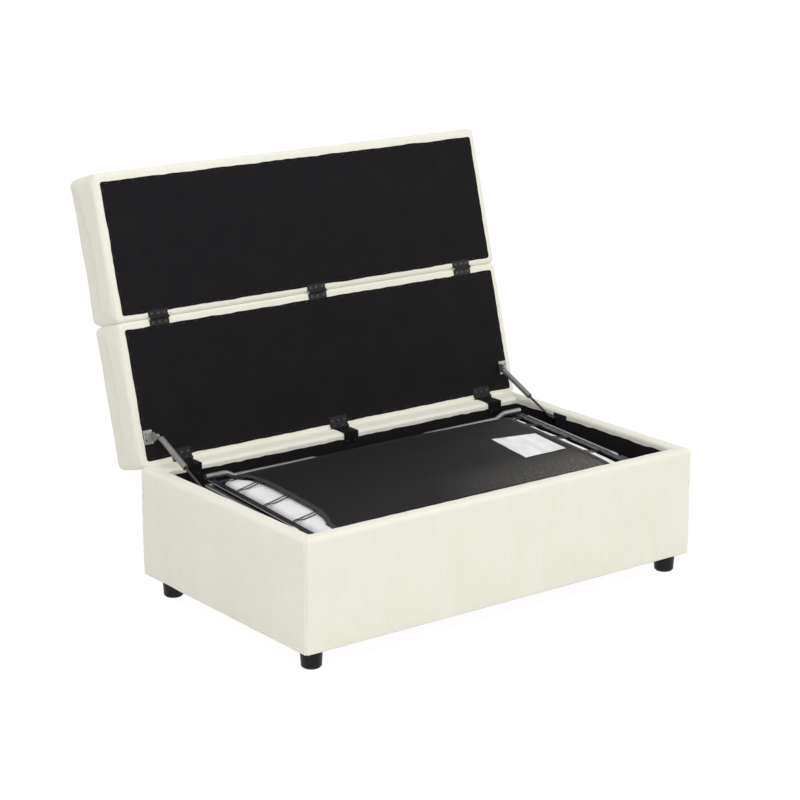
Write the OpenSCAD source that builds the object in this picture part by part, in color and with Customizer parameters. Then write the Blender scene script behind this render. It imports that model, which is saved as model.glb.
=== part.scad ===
// Upholstered box ottoman with a two-part hinged lid on gas struts and a folding bed inside.
// Shown with the lid open and the bed folded. Millimetres, +X across the length, front towards -Y.

/* [Box] */
// Length of the box, fabric to fabric
box_w = 1220; // [1150:10:1400]
// Depth of the box, front to rear
box_d = 700; // [700:5:760]
// Height of the box from the feet to the rim
box_h = 282; // [282:1:340]
// Thickness of a wall panel
wall_t = 28; // [18:1:30]
// Padding and fabric on the outside of a wall
pad_t = 10; // [4:1:14]
// Extra padding behind the rear wall
rear_extra = 12; // [0:1:14]
// Padding and fabric over the rim
rim_pad_t = 8; // [4:1:12]
// Depth of fabric turned over the rim to the inside
turn_in = 12; // [6:1:30]
// Radius of the padded corners
corner_r = 12; // [6:1:16]
// Thickness of the bottom panel
floor_t = 12; // [9:1:14]
// Thickness of the black lining cloth
lining_t = 1.5; // [0.8:0.1:2]

/* [Feet] */
// Height of a foot
foot_h = 50; // [30:1:80]
// Largest diameter of a foot
foot_dia = 56; // [40:1:70]
// Inset of a foot's centre from the box edge
foot_inset = 46; // [36:1:70]

/* [Lid] */
// Thickness of a lid half
lid_t = 148; // [80:1:150]
// Overhang of the closed lid past the front of the box
lid_over = 30; // [10:1:34]
// Distance of the fold line from the middle of the lid
fold_off = -6.5; // [-10:0.5:10]
// Lean of the open lid past upright, in degrees
lid_lean = 15.54; // [5:0.5:20]
// Fabric border round the underside lining
border = 17.4; // [12:0.1:30]
// Thickness of a lid board
board_t = 15; // [9:1:18]
// Range of the front half's fold, in degrees
fold_range = 120; // [60:5:120]

/* [Hinges] */
// Width of a hinge leaf
leaf_w = 57; // [40:1:80]
// Thickness of a hinge leaf
leaf_t = 2; // [1.5:0.1:2.4]
// Radius of a hinge pin
pin_r = 2; // [1.5:0.1:2.4]
// Distance of the outer hinges from the ends of the box
hinge_in = 120; // [90:5:190]

/* [Struts] */
// Diameter of the strut's cylinder
tube_dia = 15; // [12:0.5:15]
// Diameter of the strut's rod
rod_dia = 6.5; // [5:0.5:8]
// Depth of the lower pivot under the rim
strut_down = 22; // [20:1:32]
// Distance of the lower pivot in front of the rear face
strut_back = 205; // [190:1:230]
// Distance along the lid from the hinge pin to the upper pivot
strut_at = 70; // [66:1:80]

/* [Bed] */
// Room between the lining and a side rail for the arms and legs
bed_side = 60.5; // [60:0.5:70]
// Height of the folded head section's rails over the floor
head_z = 85; // [84:1:86]
// Height of the folded middle section's rails over the floor at the fold
middle_z = 287; // [286:1:289]
// Height of the folded foot section's rails over the floor
foot_z = 162; // [161:1:163]
// Slope of the folded pack, rear end up, in degrees
pack_tilt = 3.5; // [3:0.1:3.6]
// Rise of the bed as it unfolds
lift = 267; // [262:1:270]
// Height of a side rail's web
rail_h = 20; // [16:1:24]
// Width of a side rail's flange
rail_w = 22; // [18:1:26]
// Thickness of rail steel
rail_t = 2.5; // [2:0.1:3]
// Thickness of a mattress panel
mattress_t = 57; // [50:1:57]
// Room between a mattress panel and a rail
mattress_side = 14; // [14:1:38]
// Distance from a side rail to the edge of the middle deck cloth
link_reach = 78; // [74:1:90]
// Wire links on each side of a section
link_shares = [0.12, 0.45, 0.74, 0.93];

/* [Hidden] */

// Roundness, overrun of a cut and running clearance of a pin in its bore
round_fn = 40;
fine_fn = 24;
over = 1;
fit = 0.05;
near = 0.3;

// Box, worked out
rim_z = foot_h + box_h;
in_x = box_w / 2 - pad_t - wall_t;
in_y = box_d / 2 - pad_t - wall_t;
clear_x = in_x - lining_t;
clear_y = in_y - lining_t;
wall_top = rim_z - rim_pad_t;
floor_z = foot_h + floor_t;

// Lid hinge, worked out: the barrel lies just behind the rim, the lid rests on strap and leaf
barrel_wall = 2.5;
barrel_r = pin_r + barrel_wall;
pin_back = 12;
leaf_gap = 0.6;
axis_y = box_d / 2 + pin_back;
axis_z = rim_z + leaf_t + leaf_gap;
lid_under = leaf_gap + leaf_t;
lid_rear_at = -7;
lid_len = box_d + pin_back + lid_over;
fold_at = lid_len / 2 + fold_off;
hinge_x = box_w / 2 - hinge_in;
lid_open = 90 + lid_lean;
panel_gap = 3;
fold_wall = 1.6;
fold_r = pin_r + fold_wall;
fold_z = lid_under - fold_r - leaf_gap / 2;
cushion_from = lid_under;
strap_w = 45;
strap_drop = 34;
strap_on = 40;
leaf_l = 24;
fold_leaf_l = 20;
screw_r = 2.2;

// Centre of the whole part front to rear with the lid open
reach_rear = axis_y + lid_len * sin(lid_lean) + (lid_t + lid_under) * cos(lid_lean);
shift_y = -(reach_rear - box_d / 2) / 2;

// Struts, worked out in the plane of one strut
strut_space = 5;
strut_z = rim_z - strut_down;
strut_y = box_d / 2 - strut_back;
strut_x = clear_x - strut_space - tube_dia / 2;
strut_off = 22;
lug_t = 2;
lug_x = strut_x + tube_dia / 2 + near;
stud_r = 4;
top_y = axis_y + strut_at * sin(lid_lean) - (strut_off - lid_under) * cos(lid_lean);
top_z = axis_z + strut_at * cos(lid_lean) + (strut_off - lid_under) * sin(lid_lean);
strut_len = norm([top_y - strut_y, top_z - strut_z]);
strut_tilt = atan2(top_z - strut_z, top_y - strut_y);
shut_y = axis_y - strut_at;
shut_z = axis_z + lid_under - strut_off;
strut_shut = norm([shut_y - strut_y, shut_z - strut_z]);
eye_r = 7;
eye_t = 4;
eye_side = rod_dia / 2 + over + near;
stroke = strut_len - strut_shut;
tube_gap = 11.2;
tube_from = stroke + 2 * eye_r;
tube_to = strut_len - tube_gap;

// Bed, worked out: rails of the head section face up, those of the middle section face down
web_x = clear_x - bed_side;
mattress_w = 2 * (web_x - rail_w - mattress_side);
cloth_half = web_x - link_reach;
fold1_in = 52.5;
fold1_y = fold1_in - clear_y;
fold1_z = (head_z + middle_z) / 2;
fold2_in = 65.5;
fold2_y = clear_y - fold2_in;
fold2_z = (foot_z + middle_z) / 2;
head_in = [22.5, 48.5];
head_y = [head_in[0] - clear_y, clear_y - head_in[1]];
middle_in = [85.5, 67.5];
middle_y = [middle_in[0] - clear_y, clear_y - middle_in[1]];
foot_in = [65.5, 69.5];
foot_y = [foot_in[0] - clear_y, clear_y - foot_in[1]];
plate_t = 4;
plate_gap = 0.4;
fold_pin_r = 5;
hub_r = 11;
bar_w = 16;
foot_web_x = web_x - rail_w - 2 * plate_t - plate_gap;
tube_r = 8;
arm_in = [48.5, 40.5];
arm_between = 42;
arm_len = (2 * clear_y - arm_in[0] - arm_in[1] - arm_between) / 2;
arm_rise = asin(lift / 2 / arm_len);
arm_z = head_z - tube_r - near - near;
arm_y = [arm_in[0] - clear_y, arm_in[0] - clear_y + arm_len + arm_between];
arm_space = 25;
arm_x = web_x + arm_space;
arm_t = 4;
arm_w = 24;
lift_pin_r = 6;
swing_r = 8;
swing_space = 10;
swing_x = web_x + swing_space;
swing_in = 105.5;
swing_y = clear_y - swing_in;
swing_at = [swing_y, middle_z - rail_h / 2];
floor_gap = 1.5;
swing_len = head_z + lift + rail_h / 2 - floor_gap;
u_leg_r = 7.5;
u_leg_space = 17;
u_leg_x = foot_web_x - rail_w - u_leg_space;
u_leg_in = 95.5;
u_leg_y = u_leg_in - clear_y;
u_leg_at = [u_leg_y, foot_z - u_leg_r - over];
u_leg_len = head_z + lift - 2 * u_leg_r - over - floor_gap;
cloth_t = 1.2;
hem_w = 20;
crown = 17;
wire_r = 1.6;

linen = "ivory";
black_steel = [0.12, 0.12, 0.13];
black_cloth = [0.08, 0.08, 0.09];
bright_steel = "silver";
ticking = "white";
board_wood = "burlywood";

module on_part() {
    translate([0, shift_y, 0]) children();
}

// Children drawn level, then sloped about the fold beside the head section
module on_pack() {
    on_part() translate([0, fold1_y, fold1_z]) rotate([pack_tilt, 0, 0]) translate([0, -fold1_y, -fold1_z])
        children();
}

// Children drawn as the closed lid, with the hinge pin on the X axis, turned open
module on_lid() {
    on_part() translate([0, axis_y, axis_z]) rotate([-lid_open, 0, 0]) children();
}

module box_at(x, y, z) {
    translate([x[0], y[0], z[0]]) cube([x[1] - x[0], y[1] - y[0], z[1] - z[0]]);
}

// A rod along X between two places
module rod_x(x0, x1, r, fn = round_fn) {
    translate([x0, 0, 0]) rotate([0, 90, 0]) cylinder(h = x1 - x0, r = r, $fn = fn);
}

// A rod between two points
module rod_between(a, b, r, fn = fine_fn) {
    run = b - a;
    translate(a) rotate([0, acos(run[2] / norm(run)), atan2(run[1], run[0])])
        cylinder(h = norm(run), r = r, $fn = fn);
}

// A block standing on z = 0 with rounded upright and top edges
module soft_block(w, d, h, r) {
    for (sx = [-1, 1]) for (sy = [-1, 1]) translate([sx * (w / 2 - r), sy * (d / 2 - r), 0]) {
        cylinder(h = h - r, r = r, $fn = round_fn);
        translate([0, 0, h - r]) sphere(r = r, $fn = round_fn);
    }
    box_at([-w / 2, w / 2], [r - d / 2, d / 2 - r], [0, h - r]);
    box_at([r - w / 2, w / 2 - r], [-d / 2, d / 2], [0, h - r]);
    box_at([r - w / 2, w / 2 - r], [r - d / 2, d / 2 - r], [0, h]);
    for (s = [-1, 1]) {
        translate([0, s * (d / 2 - r), h - r]) rod_x(r - w / 2, w / 2 - r, r);
        translate([s * (w / 2 - r), 0, h - r]) rotate([0, 0, 90]) rod_x(r - d / 2, d / 2 - r, r);
    }
}

// Outline of a padded block at one level: corner arcs, with sides drawn in between the corners
arc_steps = 4;
side_steps = 5;
function arc_points(cx, cy, r, from) =
    [for (i = [0 : arc_steps]) let (a = from + 90 * i / arc_steps) [cx + r * cos(a), cy + r * sin(a)]];
function drawn(t, pull) = 4 * pull * t * (1 - t);
function level_ring(a, b, r, pull) = concat(
    [for (i = [1 : side_steps]) let (t = i / (side_steps + 1)) [a - drawn(t, pull), (b - r) * (2 * t - 1)]],
    arc_points(a - r, b - r, r, 0),
    [for (i = [1 : side_steps]) let (t = i / (side_steps + 1)) [(a - r) * (1 - 2 * t), b - drawn(t, pull)]],
    arc_points(r - a, b - r, r, 90),
    [for (i = [1 : side_steps]) let (t = i / (side_steps + 1)) [drawn(t, pull) - a, (b - r) * (1 - 2 * t)]],
    arc_points(r - a, r - b, r, 180),
    [for (i = [1 : side_steps]) let (t = i / (side_steps + 1)) [(a - r) * (2 * t - 1), drawn(t, pull) - b]],
    arc_points(a - r, r - b, r, 270));

// A padded block: each level is [height, inset]; low and high are the heights of the two middles
module padded_block(w, d, r, pull, levels, low, high) {
    rings = [for (l = levels) [for (p = level_ring(w / 2 - l[1], d / 2 - l[1], max(r - l[1], r / 3), pull))
        [p[0], p[1], l[0]]]];
    n = len(rings[0]);
    m = len(rings);
    points = concat([for (ring = rings) each ring], [[0, 0, low], [0, 0, high]]);
    sides = [for (k = [0 : m - 2]) for (i = [0 : n - 1]) let (j = (i + 1) % n)
        each [[(k + 1) * n + i, (k + 1) * n + j, k * n + j], [(k + 1) * n + i, k * n + j, k * n + i]]];
    under = [for (i = [0 : n - 1]) [m * n, i, (i + 1) % n]];
    top = [for (i = [0 : n - 1]) [m * n + 1, (m - 1) * n + (i + 1) % n, (m - 1) * n + i]];
    polyhedron(points = points, faces = concat(sides, under, top), convexity = 4);
}

// Levels of a lid cushion from its flat underside to its crowned top
edge_shares = [[0, 0.1], [0.04, 0.02], [0.3, 0], [0.68, 0.01], [0.84, 0.08], [0.93, 0.26], [0.98, 0.6],
    [1.01, 1.6], [1.03, 3.2]];
lid_edge_r = 34;
lid_corner_r = 18;
pull_in = 2.5;
function lid_levels(t) = [for (s = edge_shares) [t * s[0], lid_edge_r * s[1]]];
lid_levels_top_share = 1.045;

// Levels of a mattress panel, rounded below and above and crowned on top
mattress_shares = [[0, 1.1], [0.03, 0.5], [0.16, 0.1], [0.5, 0], [0.84, 0.1], [0.97, 0.5], [1, 1.1]];
crown_shares = [[0.45, 3], [0.8, 6.5]];
mattress_edge_r = 20;
mattress_corner_r = 30;
function mattress_levels(t, rise) = concat(
    [for (s = mattress_shares) [t * s[0], mattress_edge_r * s[1]]],
    [for (s = crown_shares) [t + rise * s[0], mattress_edge_r * s[1]]]);

module front_panel() {
    color(board_wood) on_part()
        box_at([-in_x - wall_t, in_x + wall_t], [-in_y - wall_t, -in_y], [foot_h, wall_top]);
}

module rear_panel() {
    color(board_wood) on_part()
        box_at([-in_x - wall_t, in_x + wall_t], [in_y, in_y + wall_t], [foot_h, wall_top]);
}

module left_panel() {
    color(board_wood) on_part() box_at([-in_x - wall_t, -in_x], [-in_y, in_y], [foot_h, wall_top]);
}

module right_panel() {
    color(board_wood) on_part() box_at([in_x, in_x + wall_t], [-in_y, in_y], [foot_h, wall_top]);
}

module bottom_panel() {
    color(board_wood) on_part() box_at([-in_x, in_x], [-in_y, in_y], [foot_h, floor_z]);
}

// Fabric over thin padding: outside of the walls, over the rim and a little way down inside
module box_cover() {
    color(linen) on_part() difference() {
        translate([0, rear_extra / 2, foot_h]) soft_block(box_w, box_d + rear_extra, box_h, corner_r);
        box_at([-in_x - wall_t, in_x + wall_t], [-in_y - wall_t, in_y + wall_t], [foot_h - over, wall_top]);
        box_at([-clear_x, clear_x], [-clear_y, clear_y], [foot_h, rim_z + over]);
    }
    color(linen) on_part() difference() {
        box_at([-in_x, in_x], [-in_y, in_y], [wall_top - turn_in, wall_top]);
        box_at([-clear_x, clear_x], [-clear_y, clear_y], [wall_top - turn_in - over, wall_top + over]);
    }
}

module box_lining() {
    color(black_cloth) on_part() difference() {
        box_at([-in_x, in_x], [-in_y, in_y], [floor_z, wall_top - turn_in]);
        box_at([-clear_x, clear_x], [-clear_y, clear_y], [floor_z + lining_t, wall_top]);
    }
}

foot_chamfer = 4;
foot_taper = 3;
module feet() {
    r = foot_dia / 2;
    color(black_steel) on_part() for (sx = [-1, 1]) for (sy = [-1, 1])
        translate([sx * (box_w / 2 - foot_inset), sy * (box_d / 2 - foot_inset), 0])
            rotate_extrude($fn = round_fn) polygon([[0, 0], [r - foot_taper - foot_chamfer, 0],
                [r - foot_taper, foot_chamfer], [r, foot_h], [0, foot_h]]);
}

// Barrel segments of a hinge along X, split in five, with the pin's bore
function split_x(w, i) = -w / 2 + w * i / 5;
knuckle_gap = 0.5;
module knuckles(list, r) {
    for (i = list) difference() {
        rod_x(split_x(leaf_w, i) + knuckle_gap / 2, split_x(leaf_w, i + 1) - knuckle_gap / 2, r);
        rod_x(split_x(leaf_w, i) - over, split_x(leaf_w, i + 1) + over, pin_r + fit);
    }
}

module at_hinges() {
    for (x = [-hinge_x, 0, hinge_x]) translate([x, 0, 0]) children();
}

// Strap leaf of a lid hinge: over the rim and down the inner face of the rear wall
module base_hinge_straps() {
    strap_to = clear_y - axis_y;
    color(black_steel) on_part() translate([0, axis_y, axis_z]) at_hinges() {
        difference() {
            union() {
                box_at([-strap_w / 2, strap_w / 2], [strap_to - leaf_t, -barrel_r - knuckle_gap],
                    [-leaf_gap - leaf_t, -leaf_gap]);
                box_at([-strap_w / 2, strap_w / 2], [strap_to - leaf_t, strap_to],
                    [-leaf_gap - leaf_t - strap_drop, -leaf_gap]);
                for (i = [1, 3]) box_at([split_x(leaf_w, i) + knuckle_gap / 2,
                    split_x(leaf_w, i + 1) - knuckle_gap / 2], [-barrel_r - knuckle_gap - over, 0],
                    [-leaf_gap - leaf_t, -leaf_gap]);
                knuckles([1, 3], barrel_r);
            }
            rod_x(-leaf_w, leaf_w, pin_r + fit);
            for (sx = [-1, 1]) translate([sx * strap_w / 4, strap_to / 2, -strap_drop])
                cylinder(h = strap_drop, r = screw_r, $fn = fine_fn);
        }
    }
}

module pin_set(at_y, at_z, head_r) {
    translate([0, at_y, at_z]) at_hinges() {
        rod_x(-leaf_w / 2 - near, leaf_w / 2 + near, pin_r);
        for (s = [-1, 1]) rod_x(s > 0 ? leaf_w / 2 + near : -leaf_w / 2 - near - leaf_t / 2,
            s > 0 ? leaf_w / 2 + near + leaf_t / 2 : -leaf_w / 2 - near, head_r);
    }
}

module base_hinge_pins() {
    color(bright_steel) on_part() pin_set(axis_y, axis_z, pin_r + leaf_t / 2);
}

// Leaf of a lid hinge screwed to the underside of the lid
module lid_hinge_leaves() {
    color(black_steel) on_lid() at_hinges() difference() {
        union() {
            box_at([-leaf_w / 2, leaf_w / 2], [-barrel_r - knuckle_gap - leaf_l, -barrel_r - knuckle_gap],
                [leaf_gap, leaf_gap + leaf_t]);
            for (i = [0, 2, 4]) box_at([split_x(leaf_w, i) + knuckle_gap / 2,
                split_x(leaf_w, i + 1) - knuckle_gap / 2], [-barrel_r - knuckle_gap - over, 0],
                [leaf_gap, leaf_gap + leaf_t]);
            knuckles([0, 2, 4], barrel_r);
        }
        rod_x(-leaf_w, leaf_w, pin_r + fit);
        for (sx = [-1, 0, 1]) translate([sx * leaf_w / 3, -barrel_r - leaf_l / 2 - sx * sx, 0])
            cylinder(h = lid_under + over, r = screw_r, $fn = fine_fn);
    }
}

// One half of a lid: along gives where it starts and ends, measured from the hinge pin
function half_along(front) =
    front ? [fold_at + panel_gap / 2, lid_len] : [lid_rear_at, fold_at - panel_gap / 2];

// The rear half has a pocket over each hinge barrel
pocket_side = 4;
module lid_cushion(along) {
    depth = along[1] - along[0];
    top = lid_under + lid_t * lid_levels_top_share;
    difference() {
        translate([0, -(along[0] + along[1]) / 2, cushion_from])
            padded_block(box_w, depth, lid_corner_r, pull_in, lid_levels(lid_t), 0, top - cushion_from);
        box_at([border - box_w / 2, box_w / 2 - border], [border - along[1], -along[0] - border],
            [cushion_from - over, cushion_from + lining_t + board_t]);
        if (along[0] < barrel_r) at_hinges()
            box_at([-leaf_w / 2 - pocket_side, leaf_w / 2 + pocket_side],
                [-barrel_r - knuckle_gap, over - along[0]], [cushion_from - over, barrel_r + knuckle_gap]);
    }
}

module lid_board(along) {
    box_at([border - box_w / 2, box_w / 2 - border], [border - along[1], -along[0] - border],
        [cushion_from + lining_t, cushion_from + lining_t + board_t]);
}

module lid_lining(along) {
    box_at([border - box_w / 2, box_w / 2 - border], [border - along[1], -along[0] - border],
        [cushion_from, cushion_from + lining_t]);
}

module lid_rear_board() { color(board_wood) on_lid() lid_board(half_along(false)); }
module lid_rear_cushion() { color(linen) on_lid() lid_cushion(half_along(false)); }
module lid_rear_lining() { color(black_cloth) on_lid() lid_lining(half_along(false)); }
module lid_front_board() { color(board_wood) on_lid() lid_board(half_along(true)); }
module lid_front_cushion() { color(linen) on_lid() lid_cushion(half_along(true)); }
module lid_front_lining() { color(black_cloth) on_lid() lid_lining(half_along(true)); }

// Leaf of a fold hinge; side is 1 on the rear half and -1 on the front half
module fold_leaves(side, list) {
    color(black_steel) on_lid() translate([0, -fold_at, 0]) at_hinges() difference() {
        union() {
            box_at([-leaf_w / 2, leaf_w / 2],
                side > 0 ? [fold_r + near, fold_leaf_l] : [-fold_leaf_l, -fold_r - near],
                [lid_under - leaf_t, lid_under]);
            for (i = list) box_at([split_x(leaf_w, i) + knuckle_gap / 2,
                split_x(leaf_w, i + 1) - knuckle_gap / 2],
                side > 0 ? [0, fold_r + over] : [-fold_r - over, 0], [fold_z, lid_under]);
            translate([0, 0, fold_z]) knuckles(list, fold_r);
        }
        translate([0, 0, fold_z]) rod_x(-leaf_w, leaf_w, pin_r + fit);
        for (sx = [-1, 0, 1]) translate([sx * leaf_w / 3, side * (fold_leaf_l + panel_gap) / 2, 0])
            cylinder(h = lid_under + over, r = screw_r, $fn = fine_fn);
    }
}

module fold_hinge_rear_leaves() { fold_leaves(1, [1, 3]); }
module fold_hinge_front_leaves() { fold_leaves(-1, [0, 2, 4]); }
module fold_hinge_pins() { color(bright_steel) on_lid() pin_set(-fold_at, fold_z, pin_r + leaf_t / 2); }

// Bracket on the side wall with the boss that the strut's lower eye lies against
bracket_w = 46;
bracket_h = 34;
bracket_hole_shares = [0.25, 0.55];
washer_r = 6;
module strut_box_brackets() {
    color(black_steel) on_part() for (s = [-1, 1]) scale([s, 1, 1]) {
        difference() {
            box_at([clear_x - lug_t, clear_x], [strut_y - bracket_w, strut_y + washer_r],
                [strut_z - bracket_h / 2, strut_z + bracket_h / 2 - lug_t]);
            for (k = bracket_hole_shares)
                translate([clear_x - lug_t - over, strut_y - bracket_w * (1 - k), strut_z])
                    rotate([0, 90, 0]) cylinder(h = lug_t + 2 * over, r = screw_r, $fn = fine_fn);
        }
        translate([0, strut_y, strut_z]) rod_x(strut_x + eye_side + near, clear_x - lug_t, washer_r);
    }
}

// Lug on the lid's underside beside the strut's upper eye
lug_base = 38;
lug_l = 24;
module strut_lid_lugs() {
    drop = strut_off - lid_under;
    color(bright_steel) on_lid() for (s = [-1, 1]) scale([s, 1, 1]) {
        difference() {
            box_at([lug_x, lug_x + lug_base - lug_l / 2],
                [-strut_at - lug_base / 2, lug_l - strut_at - eye_r], [leaf_gap, lid_under]);
            for (k = [-1, 1]) translate([lug_x + lug_base / 2, -strut_at + k * lug_l / 3 - over, -over])
                cylinder(h = lid_under + 2 * over, r = screw_r, $fn = fine_fn);
        }
        box_at([lug_x, lug_x + lug_t], [-strut_at - lug_l / 2, lug_l / 2 - strut_at],
            [-drop / 2, lid_under]);
        translate([0, -strut_at, 0]) {
            linear_x(lug_x, lug_t) polygon([[-lug_l / 2, -drop / 2], [-eye_r, -drop], [eye_r, -drop],
                [lug_l / 2, -drop / 2]]);
            translate([0, 0, -drop]) {
                rod_x(lug_x, lug_x + lug_t, eye_r);
                rod_x(lug_x - eye_t - 2 * near, lug_x + over, stud_r);
                rod_x(lug_x - eye_t - 2 * near - lug_t, lug_x - eye_t - 2 * near, stud_r + over);
            }
        }
    }
}

// Extrude an outline drawn in Y and Z along X
module linear_x(x, t) {
    translate([x, 0, 0]) rotate([90, 0, 90]) linear_extrude(height = t) children();
}

// Strut drawn along +Y from its lower pivot, then tilted to the open lid
module on_strut(side) {
    on_part() scale([side, 1, 1]) translate([strut_x, strut_y, strut_z]) rotate([strut_tilt, 0, 0])
        children();
}

module along_y(y0, y1, r, fn = round_fn) {
    translate([0, y0, 0]) rotate([-90, 0, 0]) cylinder(h = y1 - y0, r = r, $fn = fn);
}

seal_l = 8;
module strut_rod(side) {
    color(bright_steel) on_strut(side) {
        rod_x(-eye_t / 2, eye_side, eye_r);
        rod_x(-eye_t / 2 - lug_t, -eye_t / 2, stud_r + over);
        along_y(eye_r - over, tube_to - tube_gap - stroke, rod_dia / 2);
        along_y(eye_r - over, eye_r + seal_l / 2, rod_dia / 2 + over);
    }
}
module strut_rod_left() { strut_rod(-1); }
module strut_rod_right() { strut_rod(1); }

tube_wall = 1.5;
module strut_tube(side) {
    color([0.62, 0.63, 0.65]) on_strut(side) {
        difference() {
            along_y(tube_from, tube_to, tube_dia / 2);
            along_y(tube_from + seal_l, tube_to - eye_r, tube_dia / 2 - tube_wall);
            along_y(tube_from - over, tube_from + seal_l + over, rod_dia / 2 + fit);
        }
        translate([0, strut_len, 0]) difference() {
            union() {
                rod_x(tube_dia / 2 - eye_t, tube_dia / 2, eye_r);
                box_at([tube_dia / 2 - eye_t, tube_dia / 2], [-tube_gap - over, 0], [-stud_r, stud_r]);
            }
            rod_x(0, tube_dia, stud_r + fit);
        }
    }
}
module strut_tube_left() { strut_tube(-1); }
module strut_tube_right() { strut_tube(1); }

// Studs on the side walls that carry the lift arms
flange_r = 16;
module lift_pivot_studs() {
    color(bright_steel) on_part() for (s = [-1, 1]) for (y = arm_y) scale([s, 1, 1])
        translate([0, y, arm_z + lift / 2]) {
            rod_x(arm_x - near - lug_t, clear_x, lift_pin_r);
            rod_x(clear_x - lug_t, clear_x, flange_r);
            rod_x(arm_x - near - lug_t, arm_x - near, lift_pin_r + lug_t);
            rod_x(arm_x + arm_t + near, arm_x + arm_t + near + lug_t, lift_pin_r + lug_t);
        }
}

// A pair of lift arms, welded on the cross tube that carries the head section
module lift_arms(y) {
    color(black_steel) on_part() translate([0, y, arm_z + lift / 2])
        for (s = [-1, 1]) scale([s, 1, 1]) rotate([-arm_rise, 0, 0]) difference() {
            union() {
                rod_x(arm_x, arm_x + arm_t, arm_w / 2);
                box_at([arm_x, arm_x + arm_t], [0, arm_len], [-arm_w / 3, arm_w / 3]);
                translate([0, arm_len, 0]) rod_x(arm_x, arm_x + arm_t, tube_r + arm_t);
            }
            rod_x(arm_x - over, arm_x + arm_t + over, lift_pin_r + fit);
            translate([0, arm_len, 0]) rod_x(arm_x - over, arm_x + arm_t + over, tube_r + fit);
        }
}
module lift_tube(y) {
    color(black_steel) on_part() translate([0, y + arm_len * cos(arm_rise), arm_z])
        rod_x(-arm_x - arm_t - over, arm_x + arm_t + over, tube_r);
}
module front_lift_arms() { lift_arms(arm_y[0]); }
module front_lift_tube() { lift_tube(arm_y[0]); }
module rear_lift_arms() { lift_arms(arm_y[1]); }
module rear_lift_tube() { lift_tube(arm_y[1]); }

// Angle rails of a section at deck height z; up is 1 when the webs stand up and -1 when they hang
module rails(x, span, z, up) {
    for (s = [-1, 1]) scale([s, 1, 1]) translate([0, 0, z]) scale([1, 1, up]) {
        box_at([x - rail_t, x], span, [0, rail_h]);
        box_at([x - rail_w, x], span, [0, rail_t]);
    }
}

// Wire links from a rail's flange to the deck cloth: a long loop through the hem and a hook at the rail
link_w = 9;
module links(x, span, zc, hem_x) {
    inner = hem_x - 2 * link_w;
    outer = x - rail_w + 2 * wire_r + near;
    for (s = [-1, 1]) for (k = link_shares)
        translate([0, span[0] + (span[1] - span[0]) * k, zc]) scale([s, 1, 1]) {
            for (e = [-1, 1]) translate([0, e * link_w / 2, 0]) rod_x(inner, outer, wire_r, fine_fn);
            translate([outer, 0, 0]) rotate([0, 0, -90]) half_ring(link_w / 2);
            translate([inner, 0, 0]) rotate([0, 0, 90]) half_ring(link_w / 2);
        }
}

module half_ring(r) {
    rotate_extrude(angle = 180, $fn = fine_fn) translate([r, 0]) circle(r = wire_r, $fn = fine_fn);
}

// A deck cloth arched by rise towards its middle
cloth_steps = 10;
arch_share = 0.7;
module arched_cloth(half, span, z, rise, t) {
    mid = (span[0] + span[1]) / 2;
    deep = span[1] - span[0];
    function arch(u, v) = rise * (1 - u * u) * (1 - arch_share * v * v * v * v);
    us = [for (i = [0 : cloth_steps]) 2 * i / cloth_steps - 1];
    vs = [for (i = [0 : cloth_steps / 2]) 4 * i / cloth_steps - 1];
    nu = len(us);
    nv = len(vs);
    function sheet(dz) = [for (v = vs) for (u = us) [half * u, mid + deep / 2 * v, z + arch(u, v) + dz]];
    points = concat(sheet(0), sheet(t));
    m = nu * nv;
    function quad(a, b, c, d) = [[a, b, c], [a, c, d]];
    below = [for (j = [0 : nv - 2]) for (i = [0 : nu - 2]) let (p = j * nu + i)
        each quad(p, p + 1, p + nu + 1, p + nu)];
    above = [for (j = [0 : nv - 2]) for (i = [0 : nu - 2]) let (p = m + j * nu + i)
        each quad(p, p + nu, p + nu + 1, p + 1)];
    front = [for (i = [0 : nu - 2]) each quad(i, m + i, m + i + 1, i + 1)];
    back = [for (i = [0 : nu - 2]) let (p = (nv - 1) * nu + i) each quad(p + 1, m + p + 1, m + p, p)];
    left = [for (j = [0 : nv - 2]) let (p = j * nu) each quad(p + nu, m + p + nu, m + p, p)];
    right = [for (j = [0 : nv - 2]) let (p = j * nu + nu - 1) each quad(p, m + p, m + p + nu, p + nu)];
    polyhedron(
        points = points, faces = concat(below, above, front, back, left, right), convexity = 4);
}

module mattress(span, z, t, rise) {
    translate([0, (span[0] + span[1]) / 2, z])
        padded_block(mattress_w, span[1] - span[0], mattress_corner_r, pull_in, mattress_levels(t, rise),
            0, t + rise);
}

// Head section, lowest in the box, deck down and mattress up
module head_rails() { color(black_steel) on_part() rails(web_x, head_y, head_z, 1); }
under_tube_z = head_z - tube_r;
module head_cross_tubes() {
    color(black_steel) on_part() for (y = [head_y[0] + tube_r, head_y[1] - tube_r])
        translate([0, y, under_tube_z]) rod_x(-web_x, web_x, tube_r);
}

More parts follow.
